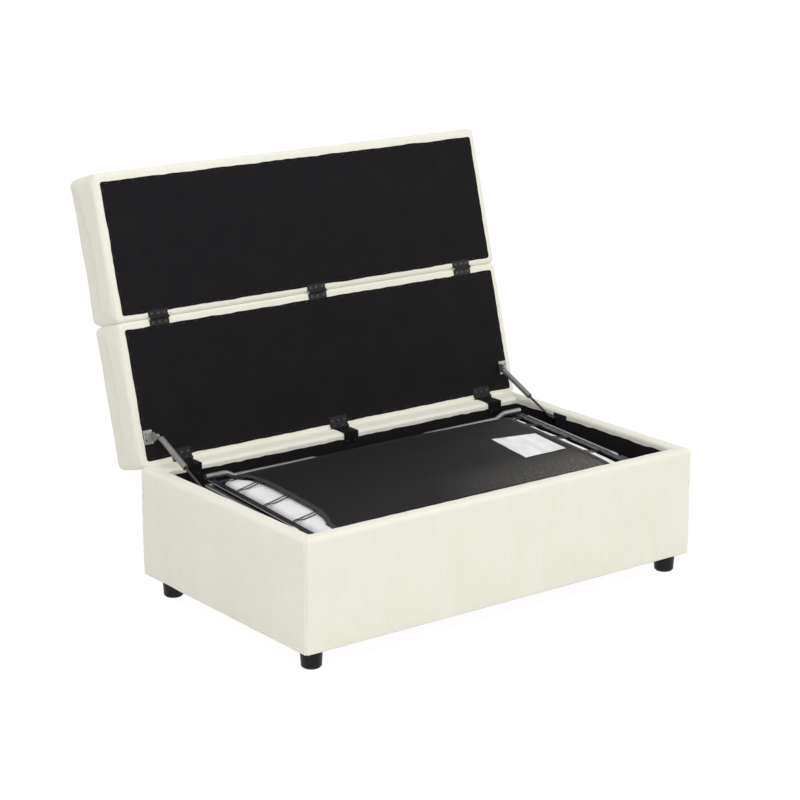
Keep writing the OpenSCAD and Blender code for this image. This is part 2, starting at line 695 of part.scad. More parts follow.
// Uprights that carry the fold pivot, and hangers that ride on the lift arms' cross tubes
hanger_x = web_x - rail_w / 2;
hanger_w = 26;
module head_brackets() {
    color(black_steel) on_part() for (s = [-1, 1]) scale([s, 1, 1]) {
        difference() {
            union() {
                box_at([web_x, web_x + plate_t], [fold1_y - bar_w / 2, fold1_y + bar_w / 2],
                    [head_z, fold1_z]);
                box_at([web_x, web_x + plate_t], [fold1_y - bar_w / 2, fold1_y + bar_w * 2],
                    [head_z, head_z + rail_h]);
                translate([0, fold1_y, fold1_z]) rod_x(web_x, web_x + plate_t, hub_r);
            }
            translate([0, fold1_y, fold1_z]) rod_x(web_x - over, web_x + plate_t + over, fold_pin_r + fit);
        }
        for (y = arm_y) translate([0, y + arm_len * cos(arm_rise), 0]) difference() {
            union() {
                box_at([hanger_x - plate_t / 2, hanger_x + plate_t / 2], [-hanger_w / 2, hanger_w / 2],
                    [arm_z, head_z]);
                translate([0, 0, arm_z]) rod_x(hanger_x - plate_t / 2, hanger_x + plate_t / 2, hub_r);
            }
            translate([0, 0, arm_z]) rod_x(hanger_x - plate_t, hanger_x + plate_t, tube_r + fit);
            box_at([hanger_x - plate_t, hanger_x + plate_t], [-hanger_w, hanger_w],
                [head_z, head_z + plate_t]);
        }
    }
}
module head_deck_cloth() {
    color(black_cloth) on_part() arched_cloth(cloth_half + hem_w,
        [head_y[0] + 2 * tube_r + plate_t, head_y[1] - 2 * tube_r - plate_t],
        head_z + rail_t - cloth_t, 0, cloth_t);
}
link_up = rail_t + wire_r + near;
module head_links() {
    color(black_steel) on_part() links(web_x, head_y, head_z + link_up, cloth_half + hem_w);
}
pad_in = 5;
head_pad_front = 13;
flat_rise = 0.2;
crown_room = 5;
flat_t = mattress_t - crown_room;
link_clear = rail_t + 2 * wire_r + 3 * near;
module head_mattress() {
    color(ticking) on_part() mattress([head_y[0] + head_pad_front, head_y[1] - pad_in],
        head_z + link_clear, flat_t, flat_rise);
}

// Pins of the fold between head and middle sections
module bed_fold_pins() {
    color(bright_steel) on_part() for (s = [-1, 1]) scale([s, 1, 1]) translate([0, fold1_y, fold1_z]) {
        rod_x(web_x - near, web_x + 2 * plate_t + plate_gap + near, fold_pin_r);
        rod_x(web_x - near - lug_t, web_x - near, fold_pin_r + lug_t);
        rod_x(web_x + 2 * plate_t + plate_gap + near, web_x + 2 * plate_t + plate_gap + near + lug_t,
            fold_pin_r + lug_t);
    }
}

// Middle section, upside down on top of the pack
module middle_rails() { color(black_steel) on_pack() rails(web_x, middle_y, middle_z, -1); }
near_tube_r = 6;
module middle_near_tube() {
    color(black_steel) on_pack()
        translate([0, middle_y[0] + near_tube_r + leaf_t, middle_z - rail_t - near_tube_r])
            rod_x(rail_t - web_x, web_x - rail_t, near_tube_r);
}

// Rings along a path of places in X and Z, each with its heading, rounded at the corners
bend_steps = 2;
function way(path, i) = let (d = path[i + 1] - path[i]) atan2(d[1], d[0]);
function bend_stops(path, i, bend) = let (
    before = way(path, i - 1),
    turn = way(path, i) - before,
    side = sign(turn),
    start = path[i] - bend * tan(abs(turn) / 2) * [cos(before), sin(before)],
    centre = start + side * bend * [-sin(before), cos(before)])
    [for (k = [0 : bend_steps]) let (w = before + turn * k / bend_steps)
        [centre + side * bend * [sin(w), -cos(w)], w]];
function tube_stops(path, bend) = let (last = len(path) - 1) concat(
    [[path[0], way(path, 0)]],
    [for (i = [1 : last - 1]) each bend_stops(path, i, bend)],
    [[path[last], way(path, last - 1)]]);

// A tube bent along such a path, in one solid
tube_sides = 20;
module bent_tube(path, r, bend) {
    stops = tube_stops(path, bend);
    n = tube_sides;
    m = len(stops);
    points = [for (s = stops) for (i = [0 : n - 1]) let (a = 360 * i / n)
        [s[0][0] - r * sin(a) * sin(s[1]), r * cos(a), s[0][1] + r * sin(a) * cos(s[1])]];
    walls = [for (k = [0 : m - 2]) for (i = [0 : n - 1]) let (j = (i + 1) % n)
        each [[(k + 1) * n + i, (k + 1) * n + j, k * n + j], [(k + 1) * n + i, k * n + j, k * n + i]]];
    ends = [[for (i = [0 : n - 1]) i], [for (i = [1 : n]) m * n - i]];
    polyhedron(points = points, faces = concat(walls, ends), convexity = 4);
}

// End tube: low in the middle, higher at the sides, and lying on the rails at both ends
jog_x = [116, 184];
jog_drop = 17;
step_in = [84, 60];
end_tube_in = 77.5;
end_tube_y = clear_y - end_tube_in;
end_tube_r = 7;
end_bend = 20;
module middle_end_tube() {
    high = middle_z + end_tube_r + near;
    side = middle_z - end_tube_r + over;
    right = [[jog_x[0], side - jog_drop], [jog_x[1], side], [web_x - step_in[0], side],
        [web_x - step_in[1], high], [web_x, high]];
    left = [for (i = [len(right) - 1 : -1 : 0]) [-right[i][0], right[i][1]]];
    color(black_steel) on_pack() translate([0, end_tube_y, 0])
        bent_tube(concat(left, right), end_tube_r, end_bend);
}

// Cranked plates from the rails down to both fold pivots
crank_in = 11.2;
module middle_brackets() {
    out = web_x + plate_t + plate_gap;
    rail_y = middle_y[0] + crank_in;
    rail_mid = middle_z - rail_h / 2;
    color(black_steel) on_pack() for (s = [-1, 1]) scale([s, 1, 1]) {
        difference() {
            union() {
                linear_x(out, plate_t) bar_between([fold1_y, fold1_z], [rail_y, rail_mid], bar_w);
                box_at([web_x, out + plate_t], [middle_y[0], middle_y[0] + bar_w * 3],
                    [middle_z - rail_h, middle_z]);
                translate([0, fold1_y, fold1_z]) rod_x(out, out + plate_t, hub_r);
            }
            translate([0, fold1_y, fold1_z]) rod_x(out - over, out + plate_t + over, fold_pin_r + fit);
        }
        translate([0, swing_at[0], swing_at[1]]) {
            rod_x(web_x, swing_x + swing_r + near, stud_r);
            rod_x(swing_x + swing_r + near, swing_x + swing_r + near + lug_t, stud_r + over);
        }
        far_x = web_x - rail_w - plate_t;
        difference() {
            union() {
                box_at([far_x, far_x + plate_t], [fold2_y - bar_w, fold2_y], [fold2_z, middle_z]);
                box_at([far_x, web_x - rail_t], [fold2_y - bar_w, middle_y[1]],
                    [middle_z - rail_t - plate_t / 2, middle_z - rail_t]);
                translate([0, fold2_y, fold2_z]) rod_x(far_x, far_x + plate_t, hub_r);
            }
            translate([0, fold2_y, fold2_z]) rod_x(far_x - over, far_x + plate_t + over, fold_pin_r + fit);
        }
    }
}

// Straight bar with round ends between two places in an outline
module bar_between(a, b, w) {
    run = b - a;
    translate(a) rotate(atan2(run[1], run[0])) {
        translate([0, -w / 2]) square([norm(run), w]);
        circle(d = w, $fn = round_fn);
        translate([norm(run), 0]) circle(d = w, $fn = round_fn);
    }
}

cloth_front = 14;
cloth_rear = 20;
middle_cloth_y = [middle_y[0] + cloth_front, middle_y[1] - cloth_rear];
middle_cloth_z = middle_z - 2 * cloth_t;
module middle_deck_cloth() {
    color(black_cloth) on_pack() arched_cloth(cloth_half, middle_cloth_y, middle_cloth_z, crown, cloth_t);
}
module middle_hem_strips() {
    color([0.3, 0.3, 0.31]) on_pack() for (s = [-1, 1]) scale([s, 1, 1])
        box_at([cloth_half + near, cloth_half + hem_w], middle_cloth_y,
            [middle_cloth_z, middle_cloth_z + 2 * cloth_t]);
}
module middle_links() {
    color(black_steel) on_pack() links(web_x, middle_y, middle_z + wire_r + near, cloth_half + hem_w);
}
middle_mattress_in = [72.5, 86.5];
middle_mattress_y = [middle_mattress_in[0] - clear_y, clear_y - middle_mattress_in[1]];
middle_rise = 16;
foot_mattress_z = foot_z + link_clear;
middle_mattress_z = foot_mattress_z + flat_t + flat_rise + near;
module middle_mattress() {
    t = middle_z - rail_t - 2 * near_tube_r - near - middle_mattress_z;
    color(ticking) on_pack() mattress(middle_mattress_y, middle_mattress_z, t, middle_rise);
}

// Foot section, between the other two, deck down and mattress up
module foot_rails() { color(black_steel) on_pack() rails(foot_web_x, foot_y, foot_z, 1); }
foot_tube_r = 6;
module foot_cross_tubes() {
    color(black_steel) on_pack() for (y = [foot_y[0] + foot_tube_r + over, foot_y[1] - foot_tube_r - leaf_t])
        translate([0, y, foot_z - foot_tube_r]) rod_x(-foot_web_x, foot_web_x, foot_tube_r);
}
module foot_brackets() {
    leg_y = u_leg_at[0];
    leg_z = u_leg_at[1];
    color(black_steel) on_pack() for (s = [-1, 1]) scale([s, 1, 1]) {
        difference() {
            union() {
                box_at([foot_web_x, foot_web_x + plate_t], [fold2_y - bar_w, fold2_y], [foot_z, fold2_z]);
                translate([0, fold2_y, fold2_z]) rod_x(foot_web_x, foot_web_x + plate_t, hub_r);
            }
            translate([0, fold2_y, fold2_z])
                rod_x(foot_web_x - over, foot_web_x + plate_t + over, fold_pin_r + fit);
        }
        difference() {
            box_at([u_leg_x + u_leg_r + near, foot_web_x - rail_w + plate_t],
                [leg_y - bar_w, leg_y + bar_w], [foot_z - rail_t, foot_z]);
            box_at([u_leg_x - u_leg_r, u_leg_x + u_leg_r + near], [leg_y - hub_r * 2, leg_y + hub_r * 2],
                [foot_z - rail_t - over, foot_z + over]);
        }
        translate([0, leg_y, leg_z]) {
            box_at([u_leg_x + u_leg_r + near, u_leg_x + u_leg_r + near + plate_t], [-bar_w / 2, bar_w / 2],
                [-u_leg_r, u_leg_r + over - rail_t]);
            rod_x(u_leg_x - u_leg_r - lug_t, u_leg_x + u_leg_r + near, stud_r);
        }
    }
}
foot_cloth_in = 17;
module foot_deck_cloth() {
    color(black_cloth) on_pack() arched_cloth(cloth_half - hem_w,
        [foot_y[0] + foot_cloth_in, foot_y[1] - foot_cloth_in], foot_z + rail_t - cloth_t, 0, cloth_t);
}
module foot_links() {
    color(black_steel) on_pack() links(foot_web_x, foot_y, foot_z + link_up, cloth_half - hem_w);
}
foot_pad_in = 3;
module foot_mattress() {
    color(ticking) on_pack() mattress([foot_y[0] + foot_pad_in, foot_y[1] - foot_pad_in], foot_mattress_z,
        flat_t, flat_rise);
}
module foot_fold_pins() {
    outer = foot_web_x + 2 * plate_t + plate_gap;
    color(bright_steel) on_pack() for (s = [-1, 1]) scale([s, 1, 1]) translate([0, fold2_y, fold2_z]) {
        rod_x(foot_web_x - near, outer + near, fold_pin_r);
        rod_x(foot_web_x - near - lug_t, foot_web_x - near, fold_pin_r + lug_t);
        rod_x(outer + near, outer + near + lug_t, fold_pin_r + lug_t);
    }
}

// Swing leg folded along the outside of a middle rail, with its pivot stud and plastic cap
module swing_leg(side) {
    cap_l = 22;
    color(bright_steel) on_pack() scale([side, 1, 1]) translate([0, swing_at[0], swing_at[1]]) {
        difference() {
            translate([swing_x, 0, 0]) {
                along_y(cap_l - swing_len, stud_r, swing_r);
                along_y(-swing_len, cap_l - swing_len, swing_r + over);
            }
            rod_x(web_x, swing_x + swing_r + over, stud_r + fit);
        }
        difference() {
            rod_x(web_x + near, swing_x, swing_r + over);
            rod_x(web_x, swing_x + over, stud_r + fit);
        }
    }
}
module swing_leg_left() { swing_leg(-1); }
module swing_leg_right() { swing_leg(1); }

// U-shaped foot leg folded under the foot section's deck
module foot_leg_tubes() {
    color(black_steel) on_pack() translate([0, u_leg_at[0], u_leg_at[1]])
        for (s = [-1, 1]) translate([s * u_leg_x, 0, 0]) difference() {
            along_y(-stud_r * 2, u_leg_len - u_leg_r, u_leg_r);
            rod_x(-u_leg_r * 2, u_leg_r * 2, stud_r + fit);
        }
}
module foot_leg_bar() {
    color(black_steel) on_pack() translate([0, u_leg_at[0] + u_leg_len, u_leg_at[1]])
        rod_x(-u_leg_x - u_leg_r, u_leg_x + u_leg_r, u_leg_r);
}
sleeve_w = 60;
module foot_leg_sleeves() {
    color(black_cloth) on_pack() translate([0, u_leg_at[0] + u_leg_len, u_leg_at[1]])
        for (s = [-1, 1]) translate([s * (u_leg_x - sleeve_w), 0, 0]) difference() {
            rod_x(-sleeve_w / 2, sleeve_w / 2, u_leg_r + over);
            rod_x(-sleeve_w, sleeve_w, u_leg_r + fit);
        }
}

front_panel();
rear_panel();
left_panel();
right_panel();
bottom_panel();
box_cover();
box_lining();
feet();
base_hinge_straps();
base_hinge_pins();
strut_box_brackets();
lift_pivot_studs();
lid_rear_board();
lid_rear_cushion();
lid_rear_lining();
lid_hinge_leaves();
strut_lid_lugs();
fold_hinge_rear_leaves();
fold_hinge_pins();
lid_front_board();
lid_front_cushion();
lid_front_lining();
fold_hinge_front_leaves();
strut_rod_left();
strut_rod_right();
strut_tube_left();
strut_tube_right();
front_lift_arms();
front_lift_tube();
rear_lift_arms();
rear_lift_tube();
head_rails();
head_cross_tubes();
head_brackets();
head_deck_cloth();
head_links();
head_mattress();
bed_fold_pins();
middle_rails();
middle_near_tube();
middle_end_tube();
middle_brackets();
middle_deck_cloth();
middle_hem_strips();
middle_links();
middle_mattress();
foot_rails();
foot_cross_tubes();
foot_brackets();
foot_deck_cloth();
foot_links();
foot_mattress();
foot_fold_pins();
swing_leg_left();
swing_leg_right();
foot_leg_tubes();
foot_leg_bar();
foot_leg_sleeves();
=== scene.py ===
import math
import bmesh
import bpy
import numpy as np
from mathutils import Matrix, Vector


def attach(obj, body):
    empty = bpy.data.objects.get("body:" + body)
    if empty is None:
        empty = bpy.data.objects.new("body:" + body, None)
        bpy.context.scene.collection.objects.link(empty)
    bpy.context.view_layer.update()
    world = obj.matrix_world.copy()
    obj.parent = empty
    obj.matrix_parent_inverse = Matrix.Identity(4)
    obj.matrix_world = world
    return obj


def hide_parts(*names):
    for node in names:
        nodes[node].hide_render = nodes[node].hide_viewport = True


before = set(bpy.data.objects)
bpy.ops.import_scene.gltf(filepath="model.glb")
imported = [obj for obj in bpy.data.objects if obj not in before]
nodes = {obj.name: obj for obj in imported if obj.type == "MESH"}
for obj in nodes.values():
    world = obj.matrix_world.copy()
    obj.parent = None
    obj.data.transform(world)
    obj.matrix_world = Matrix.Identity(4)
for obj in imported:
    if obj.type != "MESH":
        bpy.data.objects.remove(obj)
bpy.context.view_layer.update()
print("frame loaded,", len(nodes), "nodes")

# the part's own frames, in millimetres, as the CAD source draws them
place = {"shiftY": -177.9423, "hingeY": 362.0, "hingeZ": 334.6, "lidOpen": 105.54,
         "foldY": -258.0, "foldZ": 186.0, "packTilt": 3.5}
millimetres = Matrix.Diagonal((0.001, 0.001, 0.001, 1))
metres = Matrix.Diagonal((1000, 1000, 1000, 1))
partFrame = millimetres @ Matrix.Translation((0, place["shiftY"], 0))
lidFrame = (partFrame @ Matrix.Translation((0, place["hingeY"], place["hingeZ"]))
            @ Matrix.Rotation(math.radians(-place["lidOpen"]), 4, "X"))
packFrame = (partFrame @ Matrix.Translation((0, place["foldY"], place["foldZ"]))
             @ Matrix.Rotation(math.radians(place["packTilt"]), 4, "X")
             @ Matrix.Translation((0, -place["foldY"], -place["foldZ"])))


def linkObject(name, data):
    obj = bpy.data.objects.new(name, data)
    bpy.context.collection.objects.link(obj)
    return obj


# camera, matched to the photograph's corners
view = {"place": (-3.5327, -4.7416, 2.0754), "yaw": 0.6487, "pitch": 0.2756,
        "lens": 106.62, "rise": 0.021}
camera = linkObject("camera", bpy.data.cameras.new("camera"))
camera.location = view["place"]
camera.rotation_euler = (math.pi / 2 - view["pitch"], 0, -view["yaw"])
camera.data.lens = view["lens"]
camera.data.sensor_width = 36
camera.data.shift_y = view["rise"]
camera.data.clip_end = 60
bpy.context.scene.camera = camera
bpy.context.scene.view_settings.view_transform = "Standard"


def hexColor(text):
    parts = [int(text[i:i + 2], 16) / 255 for i in (1, 3, 5)]
    return tuple(c / 12.92 if c <= 0.04045 else ((c + 0.055) / 1.055) ** 2.4 for c in parts) + (1,)


def addNode(tree, kind, settings=None, inputs=None):
    node = tree.nodes.new(kind)
    for name, value in (settings or {}).items():
        setattr(node, name, value)
    for key, value in (inputs or {}).items():
        if isinstance(value, bpy.types.NodeSocket):
            tree.links.new(value, node.inputs[key])
        else:
            node.inputs[key].default_value = value
    return node


def startMaterial(name, color, roughness):
    material = bpy.data.materials.new(name)
    material.use_nodes = True
    shader = material.node_tree.nodes["Principled BSDF"]
    shader.inputs["Base Color"].default_value = hexColor(color)
    shader.inputs["Roughness"].default_value = roughness
    return material, material.node_tree, shader


def mixColor(tree, factor, low, high):
    # low and high are hex colours or colour sockets
    pick = [v if isinstance(v, bpy.types.NodeSocket) else hexColor(v) for v in (low, high)]
    return addNode(tree, "ShaderNodeMix", {"data_type": "RGBA"},
                   {0: factor, 6: pick[0], 7: pick[1]}).outputs[2]


def objectVector(tree, scale=(1, 1, 1), turn=0.0):
    where = addNode(tree, "ShaderNodeTexCoord").outputs["Object"]
    if turn:
        where = addNode(tree, "ShaderNodeMapping", {}, {"Vector": where, "Rotation": (turn, 0, 0)}).outputs[0]
    return addNode(tree, "ShaderNodeMapping", {}, {"Vector": where, "Scale": scale}).outputs[0]


def noiseAt(tree, vector, scale, detail=3.0, rough=0.5):
    return addNode(tree, "ShaderNodeTexNoise", {}, {"Vector": vector, "Scale": scale, "Detail": detail,
                                                    "Roughness": rough}).outputs["Fac"]


def ramp(tree, factor, low, high):
    return addNode(tree, "ShaderNodeMapRange", {},
                   {"Value": factor, "From Min": low, "From Max": high}).outputs[0]


def mathOf(tree, operation, a, b):
    return addNode(tree, "ShaderNodeMath", {"operation": operation}, {0: a, 1: b}).outputs[0]


def times(tree, a, b):
    return mathOf(tree, "MULTIPLY", a, b)


def plus(tree, a, b):
    return mathOf(tree, "ADD", a, b)


def waveAt(tree, vector, way, scale, distortion=0.0, detail=2.0):
    return addNode(tree, "ShaderNodeTexWave", {"bands_direction": way},
                   {"Vector": vector, "Scale": scale, "Distortion": distortion,
                    "Detail": detail}).outputs["Fac"]


def paint(tree, shader, factor, low, high):
    tree.links.new(mixColor(tree, factor, low, high), shader.inputs["Base Color"])


def bumpInto(tree, shader, height, strength, distance):
    bump = addNode(tree, "ShaderNodeBump", {}, {"Height": height, "Strength": strength, "Distance": distance})
    tree.links.new(bump.outputs[0], shader.inputs["Normal"])


def wovenLinen(name, turn):
    # polyester linen weave: matt, thick and thin yarns show as faint streaks both ways
    # yarns are about 0.9 mm apart; the slubs are drawn 3 to 5 mm wide so that they show
    material, tree, shader = startMaterial(name, "#e7e5d7", 0.92)
    shader.inputs["Sheen Weight"].default_value = 0.12
    shader.inputs["Sheen Roughness"].default_value = 0.6
    upright = noiseAt(tree, objectVector(tree, (1, 1, 0.06), turn), 230, 2.0, 0.6)
    across = noiseAt(tree, objectVector(tree, (0.1, 0.1, 1), turn), 190, 2.0, 0.6)
    patches = noiseAt(tree, objectVector(tree, (1, 1, 0.35), turn), 14, 2.0)
    yarns = plus(tree, times(tree, ramp(tree, upright, 0.35, 0.68), 0.55),
                 times(tree, ramp(tree, across, 0.38, 0.7), 0.45))
    weave = mixColor(tree, yarns, "#e3e1d3", "#eae8da")
    shade = mixColor(tree, ramp(tree, patches, 0.3, 0.7), "#e2e1d1", "#eae8dc")
    paint(tree, shader, 0.4, weave, shade)
    fine = objectVector(tree, (1, 1, 1), turn)
    threads = [waveAt(tree, fine, way, 350, 1.2, 1.0) for way in ("X", "Y", "Z")]
    cloth = plus(tree, plus(tree, threads[0], threads[1]), threads[2])
    bumpInto(tree, shader, plus(tree, times(tree, cloth, 0.15), yarns), 0.18, 0.0009)
    return material


def feltLining():
    # black spun-bonded lining: no shine at all, faint fibre mottling and small bond points
    material, tree, shader = startMaterial("feltLining", "#171518", 0.97)
    shader.inputs["Specular IOR Level"].default_value = 0.15
    fibres = noiseAt(tree, objectVector(tree), 420, 4.0, 0.7)
    clouds = noiseAt(tree, objectVector(tree), 16, 3.0)
    tone = mixColor(tree, ramp(tree, fibres, 0.35, 0.7), "#121012", "#1b191c")
    paint(tree, shader, times(tree, ramp(tree, clouds, 0.3, 0.75), 0.5), tone, "#1e1c1e")
    points = addNode(tree, "ShaderNodeTexVoronoi", {},
                     {"Vector": objectVector(tree), "Scale": 480}).outputs[0]
    bumpInto(tree, shader, plus(tree, points, fibres), 0.3, 0.0005)
    return material


def deckWeave():
    # flat-woven polypropylene tape: slightly silky; a painted sheen makes it paler and speckled towards the
    # front-right corner
    material, tree, shader = startMaterial("deckWeave", "#19171a", 0.62)
    shader.inputs["Specular IOR Level"].default_value = 0.2
    where = objectVector(tree)
    axes = addNode(tree, "ShaderNodeSeparateXYZ", {}, {0: where})
    speck = noiseAt(tree, where, 330, 4.0, 0.8)
    # mask of the front-right corner, where the painted sheen goes
    toFront = ramp(tree, axes.outputs["Y"], -0.25, -0.41)
    toRight = ramp(tree, axes.outputs["X"], -0.10, 0.42)
    corner = times(tree, toFront, toRight)
    paintedSheenSpecks = times(tree, ramp(tree, speck, 0.47, 0.66), corner)
    tapes = [waveAt(tree, where, way, 190, 0.4) for way in ("X", "Y")]
    cloth = times(tree, tapes[0], tapes[1])
    tone = mixColor(tree, cloth, "#100e10", "#181618")
    # painted sheen: the corner is painted paler, then pale specks are painted over it
    tone = mixColor(tree, times(tree, corner, 0.5), tone, "#454341")
    paint(tree, shader, paintedSheenSpecks, tone, "#9c9a92")
    bumpInto(tree, shader, plus(tree, cloth, speck), 0.25, 0.0005)
    return material


def hemWebbing():
    # ribbed edge binding, a shade paler than the sheet
    material, tree, shader = startMaterial("hemWebbing", "#272526", 0.8)
    where = objectVector(tree)
    ribs = waveAt(tree, where, "Y", 160)
    speck = noiseAt(tree, where, 500, 3.0, 0.7)
    paint(tree, shader, times(tree, ribs, speck), "#1a1819", "#4a4848")
    bumpInto(tree, shader, ribs, 0.4, 0.0005)
    return material


def mattressTicking():
    # tight cotton ticking: clean white, soft, with a very faint twill line
    material, tree, shader = startMaterial("mattressTicking", "#e9e9ea", 0.85)
    shader.inputs["Sheen Weight"].default_value = 0.1
    where = objectVector(tree)
    twill = waveAt(tree, where, "DIAGONAL", 330)
    clouds = noiseAt(tree, where, 20, 2.0)
    tone = mixColor(tree, ramp(tree, clouds, 0.3, 0.7), "#e2e2e5", "#efefef")
    paint(tree, shader, times(tree, twill, 0.25), tone, "#d8d8dc")
    bumpInto(tree, shader, plus(tree, twill, times(tree, clouds, 4.0)), 0.3, 0.0006)
    return material


def powderCoat(name, low, high, shine=0.5):
    # black powder coat over steel: low gloss with a fine orange peel, rubbed paler in random patches
    material, tree, shader = startMaterial(name, low, 0.36)
    shader.inputs["Specular IOR Level"].default_value = shine
    where = objectVector(tree)
    peel = noiseAt(tree, where, 900, 2.0)
    wear = noiseAt(tree, where, 60, 4.0, 0.7)
    paint(tree, shader, ramp(tree, wear, 0.45, 0.8), low, high)
    tree.links.new(ramp(tree, times(tree, wear, 0.9), 0.0, 1.0), shader.inputs["Roughness"])
    bumpInto(tree, shader, peel, 0.12, 0.0003)
    return material


def metalFinish(name, low, high, roughness, metallic=1.0):
    # plated or painted steel: even colour with faint clouding left by the bath or the spray
    material, tree, shader = startMaterial(name, high, roughness)
    shader.inputs["Metallic"].default_value = metallic
    where = objectVector(tree)
    paint(tree, shader, noiseAt(tree, where, 90, 3.0), low, high)
    uneven = addNode(tree, "ShaderNodeMapRange", {}, {
        "Value": noiseAt(tree, where, 200, 3.0), "To Min": roughness - 0.07, "To Max": roughness + 0.1})
    tree.links.new(uneven.outputs[0], shader.inputs["Roughness"])
    bumpInto(tree, shader, noiseAt(tree, where, 1000, 2.0), 0.05, 0.0002)
    return material


def plywoodBoard():
    # raw birch plywood: pale face grain along the board, thin darker glue lines
    material, tree, shader = startMaterial("plywoodBoard", "#c9ab7c", 0.7)
    grain = noiseAt(tree, objectVector(tree, (0.06, 1, 1)), 220, 5.0, 0.65)
    bands = waveAt(tree, objectVector(tree, (0.1, 1, 1)), "Z", 30, 6.0, 3.0)
    tone = mixColor(tree, ramp(tree, grain, 0.3, 0.75), "#d9bf93", "#b18e5d")
    paint(tree, shader, times(tree, bands, 0.35), tone, "#a5814f")
    bumpInto(tree, shader, grain, 0.2, 0.0004)
    return material


def mouldedPlastic():
    # injection-moulded plastic: fine spark-eroded texture, soft gloss
    material, tree, shader = startMaterial("mouldedFootPlastic", "#0d0d0e", 0.45)
    shader.inputs["Specular IOR Level"].default_value = 0.25
    where = objectVector(tree)
    paint(tree, shader, noiseAt(tree, where, 40, 3.0), "#060607", "#0d0d0e")
    bumpInto(tree, shader, noiseAt(tree, where, 1500, 2.0), 0.15, 0.0003)
    return material


def bareVinyl():
    # sewn-on white patch, left bare: smooth satin face, slightly creased, with painted shade darker in the
    # crease hollows
    material, tree, shader = startMaterial("bareVinyl", "#f0f0ee", 0.5)
    creasesAndPaintedShade = noiseAt(tree, objectVector(tree, (1, 0.4, 1)), 45, 3.0)
    # painted shade: the crease hollows are painted darker
    paint(tree, shader, ramp(tree, creasesAndPaintedShade, 0.35, 0.7), "#dcdcdc", "#f3f3f1")
    bumpInto(tree, shader, creasesAndPaintedShade, 0.5, 0.0015)
    return material


lidTurn = math.radians(place["lidOpen"])
finishes = {
    "linenBox": wovenLinen("wovenLinenBox", 0.0),
    "linenLid": wovenLinen("wovenLinenLid", lidTurn + math.pi / 2),
    "lining": feltLining(),
    "deck": deckWeave(),
    "hem": hemWebbing(),
    "ticking": mattressTicking(),
    "blackSteel": powderCoat("powderCoat", "#131315", "#232325"),
    "leaf": powderCoat("mattLeafCoat", "#0a0a0b", "#161617", 0.25),
    "zinc": metalFinish("brightZinc", "#b4b5b8", "#d9dadc", 0.28),
    "legSteel": metalFinish("satinLegTube", "#85868a", "#a2a3a6", 0.3),
    "strut": metalFinish("greyStrutPaint", "#73736f", "#8d8d89", 0.4, 0.55),
    "rod": metalFinish("nitridedRod", "#3c3c3d", "#5a5a5b", 0.25),
    "linkWire": metalFinish("blackenedSpringWire", "#2b2b2c", "#4c4c4e", 0.35),
    "endTube": metalFinish("satinSteelTube", "#77777a", "#98989b", 0.3, 0.8),
    "screw": metalFinish("blackOxideScrew", "#303031", "#565657", 0.35),
    "lug": metalFinish("dullZincPlate", "#8a8a87", "#a5a5a1", 0.42, 0.7),
    "board": plywoodBoard(),
    "foot": mouldedPlastic(),
    "patch": bareVinyl(),
}
print("materials made")

nodeFinish = {
    "feet": "foot", "foot_leg_sleeves": "foot", "strut_tube_left": "strut", "strut_tube_right": "strut",
    "middle_end_tube": "endTube", "strut_rod_left": "rod", "strut_rod_right": "rod",
    "swing_leg_left": "legSteel", "swing_leg_right": "legSteel",
}
for nodeName, obj in nodes.items():
    if nodeName.endswith(("_panel", "_board")):
        key = "board"
    elif nodeName in nodeFinish:
        key = nodeFinish[nodeName]
    elif nodeName.endswith(("_leaves", "_straps")):
        key = "leaf"
    elif nodeName == "strut_lid_lugs":
        key = "lug"
    elif nodeName.endswith("_pins") or nodeName == "lift_pivot_studs":
        key = "zinc"
    else:
        key = "blackSteel"
    obj.data.materials.clear()
    obj.data.materials.append(finishes[key])
print("carried-over nodes finished")


def meshFrom(name, points, faces, matrix, material=None):
    mesh = bpy.data.meshes.new(name)
    mesh.from_pydata([tuple(p) for p in np.asarray(points, float)], [],
                     [tuple(int(i) for i in f) for f in faces])
    work = bmesh.new()
    work.from_mesh(mesh)
    bmesh.ops.remove_doubles(work, verts=work.verts, dist=1e-4)
    bmesh.ops.recalc_face_normals(work, faces=work.faces)
    work.to_mesh(mesh)
    work.free()
    mesh.transform(matrix)
    if material is not None:
        mesh.materials.append(material)
    mesh.polygons.foreach_set("use_smooth", [True] * len(mesh.polygons))
    return linkObject(name, mesh)


def gridFaces(rows, columns, closeRows=False, closeColumns=False, start=0):
    faces = []
    for j in range(rows if closeRows else rows - 1):
        for i in range(columns if closeColumns else columns - 1):
            a, b = j * columns + i, j * columns + (i + 1) % columns
            c, d = ((j + 1) % rows) * columns + (i + 1) % columns, ((j + 1) % rows) * columns + i
            faces.append((start + a, start + b, start + c, start + d))
    return faces


def doubleGrid(rows, columns, count, closeColumns=False, start=0):
    # a sheet's upper grid, and its lower one, which comes count points later and faces the other way
    upper = gridFaces(rows, columns, False, closeColumns, start)
    return upper + [tuple(reversed([i + count for i in f])) for f in upper]


def gridNormals(alongRow, alongColumn):
    normal = np.cross(alongRow, alongColumn)
    return normal / np.maximum(np.linalg.norm(normal, axis=2, keepdims=True), 1e-9)


def flatPoints(x, y):
    return np.stack([x, y, np.zeros_like(x)], axis=-1)


def softNoise(points, wavelength, seed, waves=7):
    # smooth seeded undulation between about -1 and 1, from a few plane waves
    points = np.asarray(points, float)
    pick = np.random.default_rng(seed)
    total = np.zeros(points.shape[:-1])
    for _ in range(waves):
        way = pick.normal(size=3)
        way *= 2 * math.pi / wavelength / np.linalg.norm(way) * pick.uniform(0.6, 1.5)
        total += np.sin(points @ way + pick.uniform(0, 6.28))
    return total / waves ** 0.5 / 1.1


